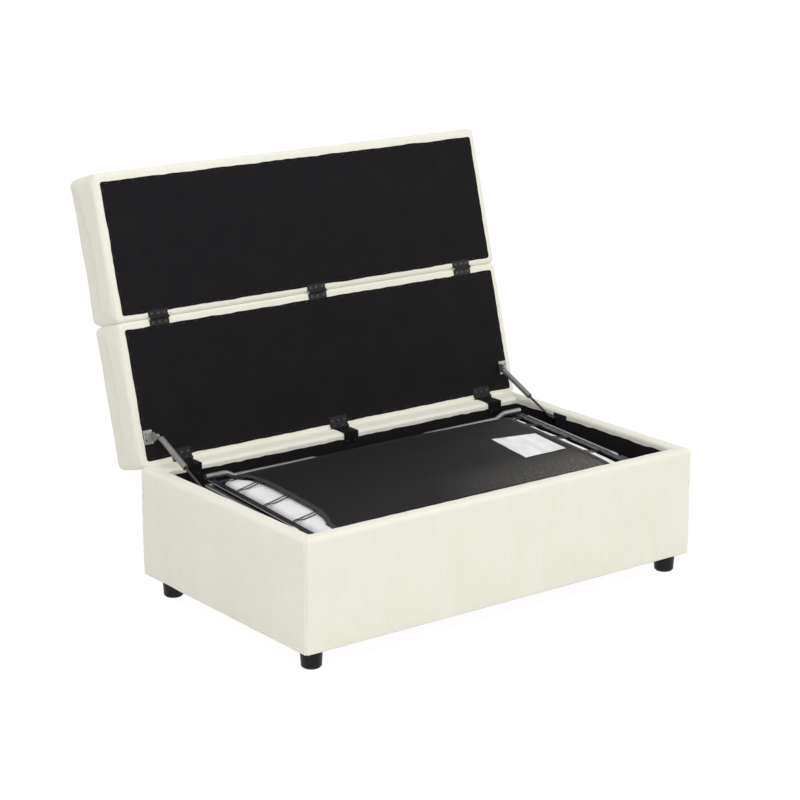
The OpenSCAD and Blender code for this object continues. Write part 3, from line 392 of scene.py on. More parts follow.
def ringPoints(a, b, r, alongX, alongY, arc):
    # rounded rectangle, half sizes a and b, anticlockwise from the right side
    out = []
    corners = [(a - r, b - r, 0), (r - a, b - r, 90), (r - a, r - b, 180), (a - r, r - b, 270)]
    runs = [alongX, alongY, alongX, alongY]
    for k, (cx, cy, begin) in enumerate(corners):
        for i in range(arc + 1):
            t = math.radians(begin + 90 * i / arc)
            out.append((cx + r * math.cos(t), cy + r * math.sin(t)))
        nx, ny, turn = corners[(k + 1) % 4]
        t = math.radians(begin + 90)
        p = (cx + r * math.cos(t), cy + r * math.sin(t))
        q = (nx + r * math.cos(t), ny + r * math.sin(t))
        for i in range(1, runs[k]):
            s = i / runs[k]
            s = s - 0.12 * math.sin(2 * math.pi * s) / math.pi  # closer together by the corners
            out.append((p[0] + (q[0] - p[0]) * s, p[1] + (q[1] - p[1]) * s))
    return np.array(out)


# box cover: fabric over thin wadding, seamed up each corner and over the rim
coverSize = {"halfX": 610.0, "halfY": 350.0, "corner": 12.0, "inset": 39.4, "inner": 10.2, "top": 332.0,
             "bottom": 50.0, "panelTop": 324.2, "turnIn": 20.0, "seamDepth": 1.5, "seamWidth": 1.5,
             "puff": 2.2, "across": 170, "deep": 100, "arc": 12, "rearReach": 24.0, "seed": 11}


def makeBoxCover():
    c = coverSize
    wall = [(0.6, c["bottom"] + 0.3), (0.1, c["bottom"] + 3)]
    outer = [(7.5, c["bottom"]), (3.0, c["bottom"] + 0.1)] + wall
    outer += [(0.0, z) for z in np.linspace(c["bottom"] + 8, c["top"] - 13, 26)]
    outer += [(12 - 12 * math.cos(t), c["top"] - 12 + 12 * math.sin(t))
              for t in np.radians([15, 30, 45, 60, 75, 90])]
    outer += [(o, c["top"] + 0.7 * math.sin(math.pi * (o - 12) / 20)) for o in (16, 20, 24, 28)]
    outer += [(c["inset"] - 8 + 8 * math.sin(t), c["top"] - 8 + 8 * math.cos(t))
              for t in np.radians([0, 18, 36, 54, 72, 90])]
    outer += [(c["inset"], z) for z in np.linspace(c["top"] - 10, c["top"] - c["turnIn"], 5)]
    inner = [(c["inset"] - 1.3, c["top"] - c["turnIn"]), (c["inset"] - 1.3, c["panelTop"]),
             (c["inner"], c["panelTop"]), (c["inner"], c["bottom"])]
    profile = outer + inner
    rings = []
    for o, z in profile:
        r = max(c["corner"] - o, 2.5)
        ring = ringPoints(c["halfX"] - o, c["halfY"] - o, r, c["across"], c["deep"], c["arc"])
        rings.append(np.column_stack([ring, np.full(len(ring), z)]))
    rings = np.array(rings)
    count = rings.shape[1]
    # distance of each column from its nearest corner seam, measured on the outside
    base = rings[6]
    step = np.linalg.norm(np.roll(base, -1, 0) - base, axis=1)
    at = np.concatenate([[0], np.cumsum(step)[:-1]])
    total = step.sum()
    begins = [0, c["arc"] + c["across"], 2 * c["arc"] + c["across"] + c["deep"],
              3 * c["arc"] + 2 * c["across"] + c["deep"]]
    seamAt = [at[b + c["arc"] // 2] for b in begins]
    gap = np.min([np.minimum(abs(at - s), total - abs(at - s)) for s in seamAt], axis=0)
    # outward directions by differences on the swept grid
    normal = gridNormals(np.roll(rings, -1, 1) - np.roll(rings, 1, 1),
                         np.roll(rings, -1, 0) - np.roll(rings, 1, 0))
    n = len(outer)
    z = rings[:, :, 2]
    height = np.clip((z - c["bottom"]) / (c["top"] - c["bottom"]), 0, 1)
    onWall = np.clip(np.minimum(height, 1 - height) * 9, 0, 1)
    fill = c["puff"] * (4 * height * (1 - height)) ** 0.6 * (1 - np.exp(-gap / 60.0)) * onWall
    low = softNoise(rings, 210, c["seed"]) * 0.9 * onWall
    mid = softNoise(rings, 55, c["seed"] + 1) * 0.35
    pucker = np.sin(z / 5.5 + 3 * softNoise(rings, 90, c["seed"] + 2)) * np.exp(-gap / 16.0) * 0.8 * onWall
    groove = -c["seamDepth"] * np.exp(-(gap / c["seamWidth"]) ** 2) + 0.9 * np.exp(-((gap - 4.0) / 2.2) ** 2)
    push = fill + low + mid + pucker + groove
    push[n:] = 0
    push[:2] = 0
    push[n - 1:n] *= 0.3
    sign = 1.0 if normal[12, c["arc"] // 2] @ base[c["arc"] // 2] > 0 else -1.0
    rings = rings + normal * sign * push[:, :, None]
    # the turned-in edge runs a little unevenly down the inner face
    wave = 1.1 * softNoise(rings[n - 1], 75, c["seed"] + 4)
    for k in (n - 2, n - 1, n):
        rings[k, :, 2] += wave
    rings[:, :, 2] = np.maximum(rings[:, :, 2], c["bottom"] - 0.4)
    # the back is padded more thickly than the front
    share = np.array([np.clip(1 - (o - 12) / (c["inset"] - 12), 0, 1) if k < n else 0
                      for k, (o, z) in enumerate(profile)])
    rings[:, :, 1] += c["rearReach"] * share[:, None] * np.clip((rings[:, :, 1] - 230) / 80, 0, 1) ** 2
    faces = gridFaces(len(profile), count, True, True)
    return meshFrom("boxCover", rings.reshape(-1, 3), faces, partFrame, finishes["linenBox"])


boxCover = makeBoxCover()
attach(boxCover, "base")
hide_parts("box_cover")
print("box cover made,", len(boxCover.data.polygons), "faces")


def vectorsOf(items, attribute):
    values = np.empty(len(items) * 3)
    items.foreach_get(attribute, values)
    return values.reshape(-1, 3)


def plainMesh(obj):
    return bpy.data.meshes.new_from_object(obj.evaluated_get(bpy.context.evaluated_depsgraph_get()))


def takeShape(obj):
    # the object's modified shape as a plain mesh with its own material; the object goes
    mesh = plainMesh(obj)
    name, material, old = obj.name, obj.data.materials[0], obj.data
    bpy.data.objects.remove(obj)
    bpy.data.meshes.remove(old)
    mesh.materials.clear()
    mesh.materials.append(material)
    mesh.name = name
    return name, mesh


def puffUp(obj, voxel, cap, held, pressure=4.0, frames=20):
    # swells a closed form as a stuffed cover; held(points) says which points stay put
    scene = bpy.context.scene
    remesh = obj.modifiers.new("remesh", "REMESH")
    remesh.mode, remesh.voxel_size = "VOXEL", voxel
    name, skin = takeShape(obj)
    work = linkObject(name, skin)
    start = vectorsOf(skin.vertices, "co")
    group = work.vertex_groups.new(name="held")
    group.add([int(i) for i in np.nonzero(held(start))[0]], 1.0, "REPLACE")
    cloth = work.modifiers.new("cloth", "CLOTH")
    s = cloth.settings
    s.quality, s.mass = 5, 0.3
    s.tension_stiffness = s.compression_stiffness = 15
    s.shear_stiffness, s.bending_stiffness = 6, 0.6
    s.use_pressure, s.uniform_pressure_force = True, pressure
    s.vertex_group_mass = "held"
    s.effector_weights.gravity = 0
    cloth.point_cache.frame_start, cloth.point_cache.frame_end = 1, frames
    for f in range(1, frames + 1):
        scene.frame_set(f)
    swollen = plainMesh(work)
    move = vectorsOf(swollen.vertices, "co") - start
    size = np.linalg.norm(move, axis=1, keepdims=True)
    move *= np.tanh(size / cap) * cap / np.maximum(size, 1e-9)
    skin.vertices.foreach_set("co", (start + move).ravel())
    work.modifiers.remove(cloth)
    bpy.data.meshes.remove(swollen)
    scene.frame_set(1)
    return work


def settle(obj, change, matrix):
    # one subdivision, then change(points, normals) gives the last shape, in metres
    sub = obj.modifiers.new("smooth", "SUBSURF")
    sub.levels = sub.render_levels = 1
    name, mesh = takeShape(obj)
    points = change(vectorsOf(mesh.vertices, "co"), vectorsOf(mesh.vertex_normals, "vector"))
    mesh.vertices.foreach_set("co", points.ravel())
    mesh.transform(matrix)
    mesh.polygons.foreach_set("use_smooth", [True] * len(mesh.polygons))
    return linkObject(name, mesh)


def blockMesh(name, halfX, halfY, corner, levels, material):
    # levels are (height, inset); the ends are closed by a grid fan to the middle
    rings = []
    for z, inset in levels:
        ring = ringPoints(halfX - inset, halfY - inset, max(corner - inset, corner * 0.35), 40, 16, 6)
        rings.append(np.column_stack([ring, np.full(len(ring), z)]))
    rings = np.array(rings)
    count = rings.shape[1]
    points = rings.reshape(-1, 3)
    low, high = len(points), len(points) + 1
    points = np.vstack([points, [[0, 0, levels[0][0]], [0, 0, levels[-1][0]]]])
    faces = gridFaces(len(levels), count, False, True)
    last = (len(levels) - 1) * count
    faces += [(low, (i + 1) % count, i) for i in range(count)]
    faces += [(high, last + i, last + (i + 1) % count) for i in range(count)]
    return meshFrom(name, points, faces, millimetres, material)


# lid halves: thick foam blocks, cover boxed with a seam round the outer face and up the corners
lidSize = {"halfX": 610.0, "thick": 148.0, "from": 2.6, "corner": 18.0, "voxel": 0.0085, "cap": 0.006,
           "crown": 163.0, "seamAt": 112.0, "seamDepth": 1.6, "pressed": 3.0, "seed": 31}
lidSpans = {"Rear": (-7.0, 363.0), "Front": (366.0, 742.0)}
liningSpans = {"Rear": (10.4, 345.6), "Front": (380.0, 721.0)}


def lidHalf(name, near, far, seed):
    c = lidSize
    halfY, t = (far - near) / 2, c["thick"]
    levels = [(0, 3.0), (1.5, 1.4), (5, 0.9), (t * 0.25, 0.6), (t * 0.5, 0.5), (t * 0.7, 0.5),
              (t * 0.83, 1.8), (t * 0.89, 4.5), (t * 0.93, 8.5), (t * 0.965, 15), (t * 0.985, 22),
              (t * 1.01, 54), (t * 1.03, 109)]
    block = blockMesh(name, c["halfX"], halfY, c["corner"], levels, finishes["linenLid"])
    puffed = puffUp(block, c["voxel"], c["cap"], lambda p: p[:, 2] < 0.004)

    def finish(points, normals):
        mm = points * 1000
        # the swelling draws the sides in, so the foam's own size is put back
        band = abs(mm[:, 2] / t - 0.42) < 0.2
        for k, half in ((0, c["halfX"]), (1, halfY)):
            mm[:, k] *= half / np.median(abs(mm[band & (abs(mm[:, k]) > half - 30), k]))
        mm[:, 2] *= c["crown"] / mm[:, 2].max()
        x, y, z = mm.T
        free = np.clip((z - 3) / 12, 0, 1)
        # corner seams of the side band, and the seam round the outer face
        away = np.hypot(np.maximum(c["halfX"] - 5 - abs(x), 0), np.maximum(halfY - 5 - abs(y), 0))
        below = np.clip((c["seamAt"] + 6 - z) / 6, 0, 1)
        push = -c["seamDepth"] * np.exp(-(away / 3.5) ** 2) * below
        outside = np.minimum(c["halfX"] - abs(x), halfY - abs(y)) < 30
        seamLine = c["seamAt"] + 1.2 * softNoise(mm, 120, c["seed"])
        push -= c["seamDepth"] * np.exp(-((z - seamLine) / 2.6) ** 2) * outside
        push += 0.9 * np.exp(-((z - c["seamAt"] - 6) / 4) ** 2) * outside
        ripple = np.sin((x + y) / 7.0 + 2 * softNoise(mm, 100, seed))
        ripple = ripple * np.exp(-abs(z - c["seamAt"]) / 11) * 0.5
        push += ripple * outside + 1.1 * softNoise(mm, 190, seed + 1) + 0.4 * softNoise(mm, 60, seed + 2)
        mm = mm + normals * (push * free)[:, None]
        mm[:, 2] = np.maximum(mm[:, 2], 0)
        # the two halves are pressed flat against each other
        facing = -1 if near < 0 else 1
        atFold = np.clip((facing * mm[:, 1] - halfY + 12) / 12, 0, 1) * np.clip((mm[:, 2] - 2) / 9, 0, 1)
        mm[:, 1] += facing * c["pressed"] * atFold * (mm[:, 2] < c["seamAt"] + 4)
        limit = halfY + np.where(facing * mm[:, 1] > 0, 1.4, 1.5)
        mm[:, 1] = np.clip(mm[:, 1], -limit, limit)
        mm[:, 0] = np.clip(mm[:, 0], -c["halfX"] - 2, c["halfX"] + 2)
        if near < 0:
            # the hinged edge is pressed in where it stands on the rim
            atHinge = np.clip((mm[:, 1] - halfY + 30) / 30, 0, 1)
            mm[:, 1] -= c["pressed"] * atHinge * np.clip(1 - mm[:, 2] / 18, 0, 1)
        return mm / 1000

    where = lidFrame @ Matrix.Translation((0, -(near + far) / 2, c["from"])) @ metres
    half = settle(puffed, finish, where)
    print(name, "made,", len(half.data.polygons), "faces")
    return half


for index, (name, (near, far)) in enumerate(lidSpans.items()):
    piece = lidHalf("lid" + name + "Cushion", near, far, 41 + 10 * index)
    body = "lid_" + name.lower()
    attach(piece, body)
    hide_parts(body + "_cushion")


def hemWalls(rows, columns, count, start=0):
    # joins the upper and lower grids of a sheet round its edge; count is the points in each grid
    edge = list(range(columns)) + [j * columns + columns - 1 for j in range(1, rows)]
    edge += [(rows - 1) * columns + i for i in range(columns - 2, -1, -1)]
    edge += [j * columns for j in range(rows - 2, 0, -1)]
    return [(start + a, start + a + count, start + b + count, start + b)
            for a, b in zip(edge, edge[1:] + edge[:1])]


def sheetMesh(name, surface, columns, rows, thick, matrix, material):
    # surface maps two arrays from -1 to 1 to points in millimetres; the sheet hangs thick below it
    u, v = np.meshgrid(np.linspace(-1, 1, columns), np.linspace(-1, 1, rows))
    top = surface(u, v)
    under = top - gridNormals(np.gradient(top, axis=1), np.gradient(top, axis=0)) * thick
    count = columns * rows
    faces = doubleGrid(rows, columns, count) + hemWalls(rows, columns, count)
    return meshFrom(name, np.vstack([top.reshape(-1, 3), under.reshape(-1, 3)]), faces, matrix, material)


# black linings on the lid's underside, folded at the edge and stapled through the fabric
liningSize = {"halfX": 592.6, "proud": 0.9, "thick": 0.8, "wave": 0.75, "pitch": 38.0, "round": 7.0,
              "lift": 0.1, "columns": 420, "rows": 110}


def squareToRound(u, v, a, b, r):
    # keeps the sides straight and rounds only the four corners of a grid
    x, y = u * a, v * b
    ex, ey = np.maximum(abs(x) - (a - r), 0), np.maximum(abs(y) - (b - r), 0)
    far = np.maximum(np.hypot(ex, ey), 1e-9)
    reach = np.maximum(ex, ey)
    keep = np.where((ex > 0) & (ey > 0), reach / far, 1.0)
    return np.sign(x) * (abs(x) - ex + ex * keep), np.sign(y) * (abs(y) - ey + ey * keep)


def lidLining(name, near, far, seed):
    c = liningSize
    a, b = c["halfX"], (far - near) / 2

    def surface(u, v):
        x, y = squareToRound(u, v, a, b, c["round"])
        toEdge = np.minimum(a - abs(x), b - abs(y))
        flat = flatPoints(x, y)
        along = np.where(a - abs(x) < b - abs(y), y, x)
        staples = np.cos(2 * math.pi * along / c["pitch"] + 2.6 * softNoise(flat, 300, seed))
        uneven = 0.6 + 0.4 * softNoise(flat, 230, seed + 5)
        shift = c["wave"] * (0.5 * staples * uneven + softNoise(flat, 90, seed + 1)) * np.exp(-toEdge / 9.0)
        x = x + np.sign(x) * shift * (a - abs(x) < b - abs(y) + 4)
        y = y + np.sign(y) * shift * (b - abs(y) < a - abs(x) + 4)
        z = -c["proud"] - 0.7 * (1 - np.exp(-toEdge / 14.0)) * (0.6 + 0.4 * softNoise(flat, 160, seed + 2))
        z = z - 0.4 * (1 - staples * uneven) * np.exp(-toEdge / 7.0) * (1 - np.exp(-toEdge / 3.0))
        return np.stack([x, y, z], axis=-1)

    where = lidFrame @ Matrix.Translation((0, -(near + far) / 2, lidSize["from"] + c["lift"]))
    return sheetMesh(name, surface, c["columns"], c["rows"], -c["thick"], where, finishes["lining"])


for index, (name, (near, far)) in enumerate(liningSpans.items()):
    piece = lidLining("lid" + name + "Lining", near, far, 61 + 10 * index)
    body = "lid_" + name.lower()
    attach(piece, body)
    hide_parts(body + "_lining")
print("lid linings made")

# black lining inside the box: walls stapled under the turned-in edge, and the floor
boxLiningSize = {"halfX": 570.2, "halfY": 310.2, "low": 63.6, "high": 316.0, "thick": 0.8, "ripple": 1.6,
                 "flat": (1.644, 1.124), "across": 150, "deep": 84, "floorColumns": 60, "floorRows": 34,
                 "seed": 81}


def makeBoxLining():
    c = boxLiningSize
    levels = np.concatenate([np.linspace(c["low"], c["high"] - 12, 14),
                             np.linspace(c["high"] - 8, c["high"], 4)])
    rings = []
    for z in levels:
        ring = ringPoints(c["halfX"], c["halfY"], 6.0, c["across"], c["deep"], 5)
        rings.append(np.column_stack([ring, np.full(len(ring), z)]))
    rings = np.array(rings)
    inward = -rings * np.array([1, 1, 0])
    side = np.stack([np.where(c["halfX"] - abs(rings[..., 0]) < 6, np.sign(inward[..., 0]), 0),
                     np.where(c["halfY"] - abs(rings[..., 1]) < 6, np.sign(inward[..., 1]), 0),
                     np.zeros(rings.shape[:2])], axis=-1)
    fold = 0.5 + 0.5 * softNoise(rings * np.array([1, 1, 0.25]), 110, c["seed"])
    fade = np.clip((c["high"] - rings[..., 2]) / 40, 0, 1) * np.clip((rings[..., 2] - c["low"]) / 30, 0, 1)
    rings = rings + side * (0.3 + c["ripple"] * fold * fade)[..., None]
    wave = 1.2 * softNoise(rings[-1], 60, c["seed"] + 1) + 0.6 * softNoise(rings[-1], 25, c["seed"] + 2)
    for k, share in ((-1, 1.0), (-2, 0.8), (-3, 0.6), (-4, 0.4)):
        rings[k, :, 2] += wave * share
    inner = rings + side * c["thick"]
    rows, count = rings.shape[:2]
    total = rows * count
    faces = doubleGrid(rows, count, total, True)
    for row in (0, rows - 1):
        for i in range(count):
            a, b = row * count + i, row * count + (i + 1) % count
            faces.append((a, b, b + total, a + total) if row else (a, a + total, b + total, b))
    points = [rings.reshape(-1, 3), inner.reshape(-1, 3)]
    # the floor cloth is a second closed sheet, tucked under the walls
    base, columns, rows = 2 * total, c["floorColumns"], c["floorRows"]
    u, v = np.meshgrid(np.linspace(-1, 1, columns), np.linspace(-1, 1, rows))
    floorTop = np.stack([u * (c["halfX"] - 2), v * (c["halfY"] - 2), np.full_like(u, c["low"] - 0.2)],
                        axis=-1)
    floorTop[..., 2] += 0.25 * softNoise(floorTop, 90, c["seed"] + 3)
    under = floorTop - np.array([0, 0, c["thick"]])
    faces += doubleGrid(rows, columns, u.size, start=base) + hemWalls(rows, columns, u.size, base)
    points += [floorTop.reshape(-1, 3), under.reshape(-1, 3)]
    return meshFrom("boxLining", np.vstack(points), faces, partFrame, finishes["lining"])


boxLining = makeBoxLining()
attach(boxLining, "base")
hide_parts("box_lining")
print("box lining made")

# mattress panels: thin foam in sewn ticking, softer at the edges
padSize = {"halfX": 474.0, "corner": 24.0, "edge": 17.0, "voxel": 0.010, "cap": 0.0025}


def mattressPanel(name, front, rear, bottom, thick, rise, frameMatrix, seed, body, node, swell=(0, 0)):
    c, e = padSize, padSize["edge"]
    halfY = (rear - front) / 2
    levels = [(0.4, e * 1.1), (thick * 0.08, e * 0.5), (thick * 0.22, e * 0.22), (thick * 0.5, e * 0.16)]
    levels += [(thick * 0.78, e * 0.22), (thick * 0.92, e * 0.5), (thick * 0.985, e * 1.15)]
    levels += [(thick + rise * 0.25, 50), (thick + rise * 0.55, 110)]
    block = blockMesh(name, c["halfX"], halfY, c["corner"], levels, finishes["ticking"])
    top = (thick + rise + max(swell) / 4) / 1000
    puffed = puffUp(block, c["voxel"], c["cap"], lambda p: p[:, 2] < 0.003)

    def finish(points, normals):
        mm = points * 1000
        x, y, z = mm.T
        push = 0.5 * softNoise(mm, 130, seed) + 0.35 * softNoise(mm, 45, seed + 1)
        rim = np.minimum(c["halfX"] - abs(x), halfY - abs(y)) < 12
        push -= 1.4 * np.exp(-((z - thick * 0.5) / 2.5) ** 2) * rim  # the seam round the middle
        mm = mm + normals * (push * np.clip(z / 8, 0, 1))[:, None]
        # the folded pack squeezes the panel up along the sheet's sides
        onTop = np.clip(mm[:, 2] / thick - 0.55, 0, 0.4) / 0.4
        mm[:, 2] += onTop * (swell[0] * np.exp(-((x + 452) / 42) ** 2)
                             + swell[1] * np.exp(-((x - 470) / 34) ** 2))
        mm[:, 0] += np.sign(x) * onTop * min(swell[0], 12) * np.clip((abs(x) - 415) / 44, 0, 1)
        mm[:, 2] = np.clip(mm[:, 2], 0, top * 1000)
        widest = c["halfX"] + min(swell[0], 10)
        mm[:, 0] = np.clip(mm[:, 0], -widest, widest)
        mm[:, 1] = np.clip(mm[:, 1], -halfY, halfY)
        return mm / 1000

    where = frameMatrix @ Matrix.Translation((0, (front + rear) / 2, bottom)) @ metres
    panel = settle(puffed, finish, where)
    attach(panel, body)
    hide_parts(node)
    print(name, "made,", len(panel.data.polygons), "faces")


mattressPanel("headMattress", -275.0, 257.0, 91.6, 52.0, 0.2, partFrame, 101, "bed_head", "head_mattress")
mattressPanel("footMattress", -242.0, 238.0, 168.6, 52.0, 0.2, packFrame, 111, "bed_middle", "foot_mattress")
mattressPanel("middleMattress", -238.0, 224.0, 221.1, 51.1, 16.0, packFrame, 121, "bed_middle",
              "middle_mattress", (15.0, 22.0))

# deck sheets: woven tape cloth held by wire links, the upper one drawn up by the pack under it
deckSize = {"half": 432.0, "front": -211.0, "rear": 223.0, "z": 286.0, "rise": 10.0, "edge": 9.0,
            "thick": 1.2, "links": (-125.0, 0.0, 118.0, 194.0), "drawnIn": 37.0, "columns": 150, "rows": 80,
            "seed": 131}


def deckShare(y):
    # a place across the upper sheet, from -1 at its front edge to 1 at the rear
    c = deckSize
    return (y - (c["front"] + c["rear"]) / 2) / (c["rear"] - c["front"]) * 2


def middleDeck(u, v):
    c = deckSize
    mid, deep = (c["front"] + c["rear"]) / 2, c["rear"] - c["front"]
    y = mid + deep / 2 * v
    # the left side draws in between its end links, the right side hardly at all
    atEnds = np.minimum(abs((y - 10) / 190) ** 4, 1)
    inward = np.where(u < 0, c["drawnIn"] * (1 - 0.8 * atEnds), 1.5 * (1 - atEnds)) * abs(u) ** 6
    x = c["half"] * u - np.sign(u) * inward
    edge = c["edge"] + 2 * v - 5 * np.maximum(0, -v) ** 4 - 11.5 * np.maximum(0, v) ** 12
    z = c["z"] + edge + c["rise"] * (1 - u * u) * (1 - 0.7 * v ** 4)
    flat = flatPoints(x, y)
    z = z + (0.6 * softNoise(flat, 260, c["seed"]) + 0.3 * softNoise(flat, 120, c["seed"] + 1)) * (1 - u ** 4)
    return np.stack([x, y, z], axis=-1)


def plainDeck(half, front, rear, z, seed):
    def surface(u, v):
        x, y = half * u, (front + rear) / 2 + (rear - front) / 2 * v
        flat = flatPoints(x, y)
        return np.stack([x, y, z + 1.2 + 0.25 * softNoise(flat, 150, seed)], axis=-1)
    return surface


for name, surface, size, frameMatrix, body, node in (
        ("middleDeckSheet", middleDeck, (864, 434), packFrame, "bed_middle", "middle_deck_cloth"),
        ("headDeckSheet", plainDeck(452, -268, 242, 86.3, 141), (904, 510), partFrame, "bed_head",
         "head_deck_cloth"),
        ("footDeckSheet", plainDeck(412, -228, 224, 163.3, 151), (824, 452), packFrame, "bed_middle",
         "foot_deck_cloth")):
    piece = sheetMesh(name, surface, deckSize["columns"], deckSize["rows"], deckSize["thick"], frameMatrix,
                      finishes["deck"])
    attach(piece, body)
    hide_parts(node)


# side hems of the upper sheet, and its bare white patch
def hemSurface(side):
    def surface(u, v):
        inner = middleDeck(np.full_like(u, side * 0.992), v)
        wide = np.where(side > 0, 19.5, 13.0) * (u * side + 1) / 2
        x = inner[..., 0] + side * wide
        z = inner[..., 2] + 0.9 - 0.12 * wide + 0.3 * softNoise(inner, 60, 161)
        return np.stack([x, inner[..., 1], z], axis=-1)
    return surface


def hemPoint(side, u, v):
    return hemSurface(side)(np.array([[float(u)]]), np.array([[float(v)]]))[0, 0]


for name, side in (("hemLeft", -1), ("hemRight", 1)):
    hem = sheetMesh(name, hemSurface(side), 9, 120, 1.8, packFrame, finishes["hem"])
    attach(hem, "bed_middle")
    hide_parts("middle_hem_strips")

patchSize = {"corners": ((263.3, -87.2), (409.4, -75.7), (415.8, 56.1), (275.2, 69.3))}


def patchSurface(u, v):
    # the patch's four corners, laid on the sheet
    s, t = (u + 1) / 2, (v + 1) / 2
    p = [np.array(q, float) for q in patchSize["corners"]]
    xy = ((1 - s) * (1 - t))[..., None] * p[0] + (s * (1 - t))[..., None] * p[1]
    xy = xy + (s * t)[..., None] * p[2] + ((1 - s) * t)[..., None] * p[3]
    x, y = xy[..., 0], xy[..., 1]
    on = middleDeck(x / deckSize["half"], deckShare(y))[..., 2]
    flat = flatPoints(x, y)
    return np.stack([x, y, on + 0.75 + 0.25 * softNoise(flat, 40, 171)], axis=-1)


patch = sheetMesh("whitePatch", patchSurface, 30, 30, 0.5, packFrame, finishes["patch"])
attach(patch, "bed_middle")
print("deck sheets made")


# one tree for all that repeats: a small shape is set on each point and turned by its "turn" attribute
def scatterTree():
    tree = bpy.data.node_groups.new("setOnPoints", "GeometryNodeTree")
    sockets = {}
    for name, kind in (("Geometry", "NodeSocketGeometry"), ("Shape", "NodeSocketObject"),
                       ("Finish", "NodeSocketMaterial")):
        sockets[name] = tree.interface.new_socket(name=name, in_out="INPUT", socket_type=kind)
    tree.interface.new_socket(name="Geometry", in_out="OUTPUT", socket_type="NodeSocketGeometry")
    given = addNode(tree, "NodeGroupInput")
    points = addNode(tree, "GeometryNodeMeshToPoints", {}, {"Mesh": given.outputs["Geometry"]})
    turn, stretch = (addNode(tree, "GeometryNodeInputNamedAttribute", {"data_type": "FLOAT_VECTOR"},
                             {"Name": name}) for name in ("turn", "stretch"))
    shape = addNode(tree, "GeometryNodeObjectInfo", {}, {"Object": given.outputs["Shape"]})
    placed = addNode(tree, "GeometryNodeInstanceOnPoints", {}, {
        "Points": points.outputs[0], "Instance": shape.outputs["Geometry"], "Rotation": turn.outputs[0],
        "Scale": stretch.outputs[0]})
    real = addNode(tree, "GeometryNodeRealizeInstances", {}, {0: placed.outputs[0]})
    done = addNode(tree, "GeometryNodeSetMaterial", {},
                   {0: real.outputs[0], "Material": given.outputs["Finish"]})
    addNode(tree, "NodeGroupOutput", {}, {0: done.outputs[0]})
    return tree, sockets


scatter, scatterSockets = scatterTree()


def setOnPoints(name, shape, spots, matrix, body, finish):
    # spots are (point, normal, along, stretch lengthwise), in the millimetres of the given frame
    spots = [spot if len(spot) == 4 else spot + (1.0,) for spot in spots]
    mesh = bpy.data.meshes.new(name)
    turnOnly = matrix.to_3x3().normalized()
    mesh.from_pydata([matrix @ Vector(spot[0]) for spot in spots], [], [])
    turns = mesh.attributes.new("turn", "FLOAT_VECTOR", "POINT")
    stretches = mesh.attributes.new("stretch", "FLOAT_VECTOR", "POINT")
    for i, (p, n, a, longer) in enumerate(spots):
        z = (turnOnly @ Vector(n)).normalized()
        x = (turnOnly @ Vector(a)).normalized()
        y = z.cross(x).normalized()
        x = y.cross(z)
        turns.data[i].vector = Matrix((x, y, z)).transposed().to_euler()
        stretches.data[i].vector = (longer, 1, 1)
    carrier = linkObject(name, mesh)
    nodesOf = carrier.modifiers.new("setOnPoints", "NODES")
    nodesOf.node_group = scatter
    nodesOf[scatterSockets["Shape"].identifier] = shape
    nodesOf[scatterSockets["Finish"].identifier] = finish
    made = plainMesh(carrier)
    bpy.data.objects.remove(carrier)
    made.name = name
    piece = linkObject(name, made)
    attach(piece, body)
    return piece


def latheShape(name, outline, sides=16):
    # outline is (radius, height) in millimetres from the axis out and back
    points, faces = [], []
    for r, z in outline:
        points += [(r * math.cos(2 * math.pi * i / sides), r * math.sin(2 * math.pi * i / sides), z)
                   for i in range(sides)]
    return meshFrom(name, points, gridFaces(len(outline), sides, False, True), millimetres, None)


def crossRecess(obj, wide, deep, top):
    # presses a cross into a screw head
    work = bmesh.new()
    work.from_mesh(obj.data)
    for v in work.verts:
        x, y, z = (c * 1000 for c in v.co)
        if z > top - 0.5 and (abs(x) < wide and abs(y) < 2.4 or abs(y) < wide and abs(x) < 2.4):
            v.co.z -= deep / 1000
    work.to_mesh(obj.data)
    work.free()


def tubeAlong(name, path, radius, sides=8, closed=False):
    # round wire along points, in millimetres
    path = np.array(path, float)
    n = len(path)
    ahead = np.roll(path, -1, 0) - np.roll(path, 1, 0)
    if not closed:
        ahead[0], ahead[-1] = path[1] - path[0], path[-1] - path[-2]
    ahead /= np.linalg.norm(ahead, axis=1, keepdims=True)
    side = np.cross(ahead[0], (0.123, 0.57, 0.81))
    rings = []
    for p, t in zip(path, ahead):
        side = side - t * (side @ t)
        side /= np.linalg.norm(side)
        up = np.cross(t, side)
        rings.append([p + radius * (math.cos(a) * side + math.sin(a) * up)
                      for a in np.linspace(0, 2 * math.pi, sides, endpoint=False)])
    points = np.array(rings).reshape(-1, 3)
    faces = gridFaces(n, sides, closed, True)
    if not closed:
        faces += [tuple(range(sides - 1, -1, -1)), tuple((n - 1) * sides + i for i in range(sides))]
    return meshFrom(name, points, faces, millimetres, None)


# a low head, so that closed hinge leaves clear it
screwHead = latheShape("screwHead", [(0.0, 0.5), (0.7, 0.5), (1.3, 0.49), (2.2, 0.45), (3.0, 0.35),
                                     (3.5, 0.15), (3.6, 0), (0.0, 0)])
crossRecess(screwHead, 0.75, 0.3, 0.5)
staple = tubeAlong("staple", [(-5, 0, -1.5), (-5, 0, 0.1), (-4.4, 0, 0.5), (4.4, 0, 0.5), (5, 0, 0.1),
                              (5, 0, -1.5)], 0.5, 5)
stitch = tubeAlong("stitch", [(-2.4, 0, -0.5), (-1.6, 0, 0.15), (0, 0, 0.4), (1.6, 0, 0.15),
                              (2.4, 0, -0.5)], 0.45, 5)

# wire link: two long legs through the hem, and a hook over the rail's flange
linkSize = {"wide": 12.0, "long": 57.0, "wire": 1.5, "tuck": 11.0, "slant": (-8.5, 18.5, 20.0, 17.0)}


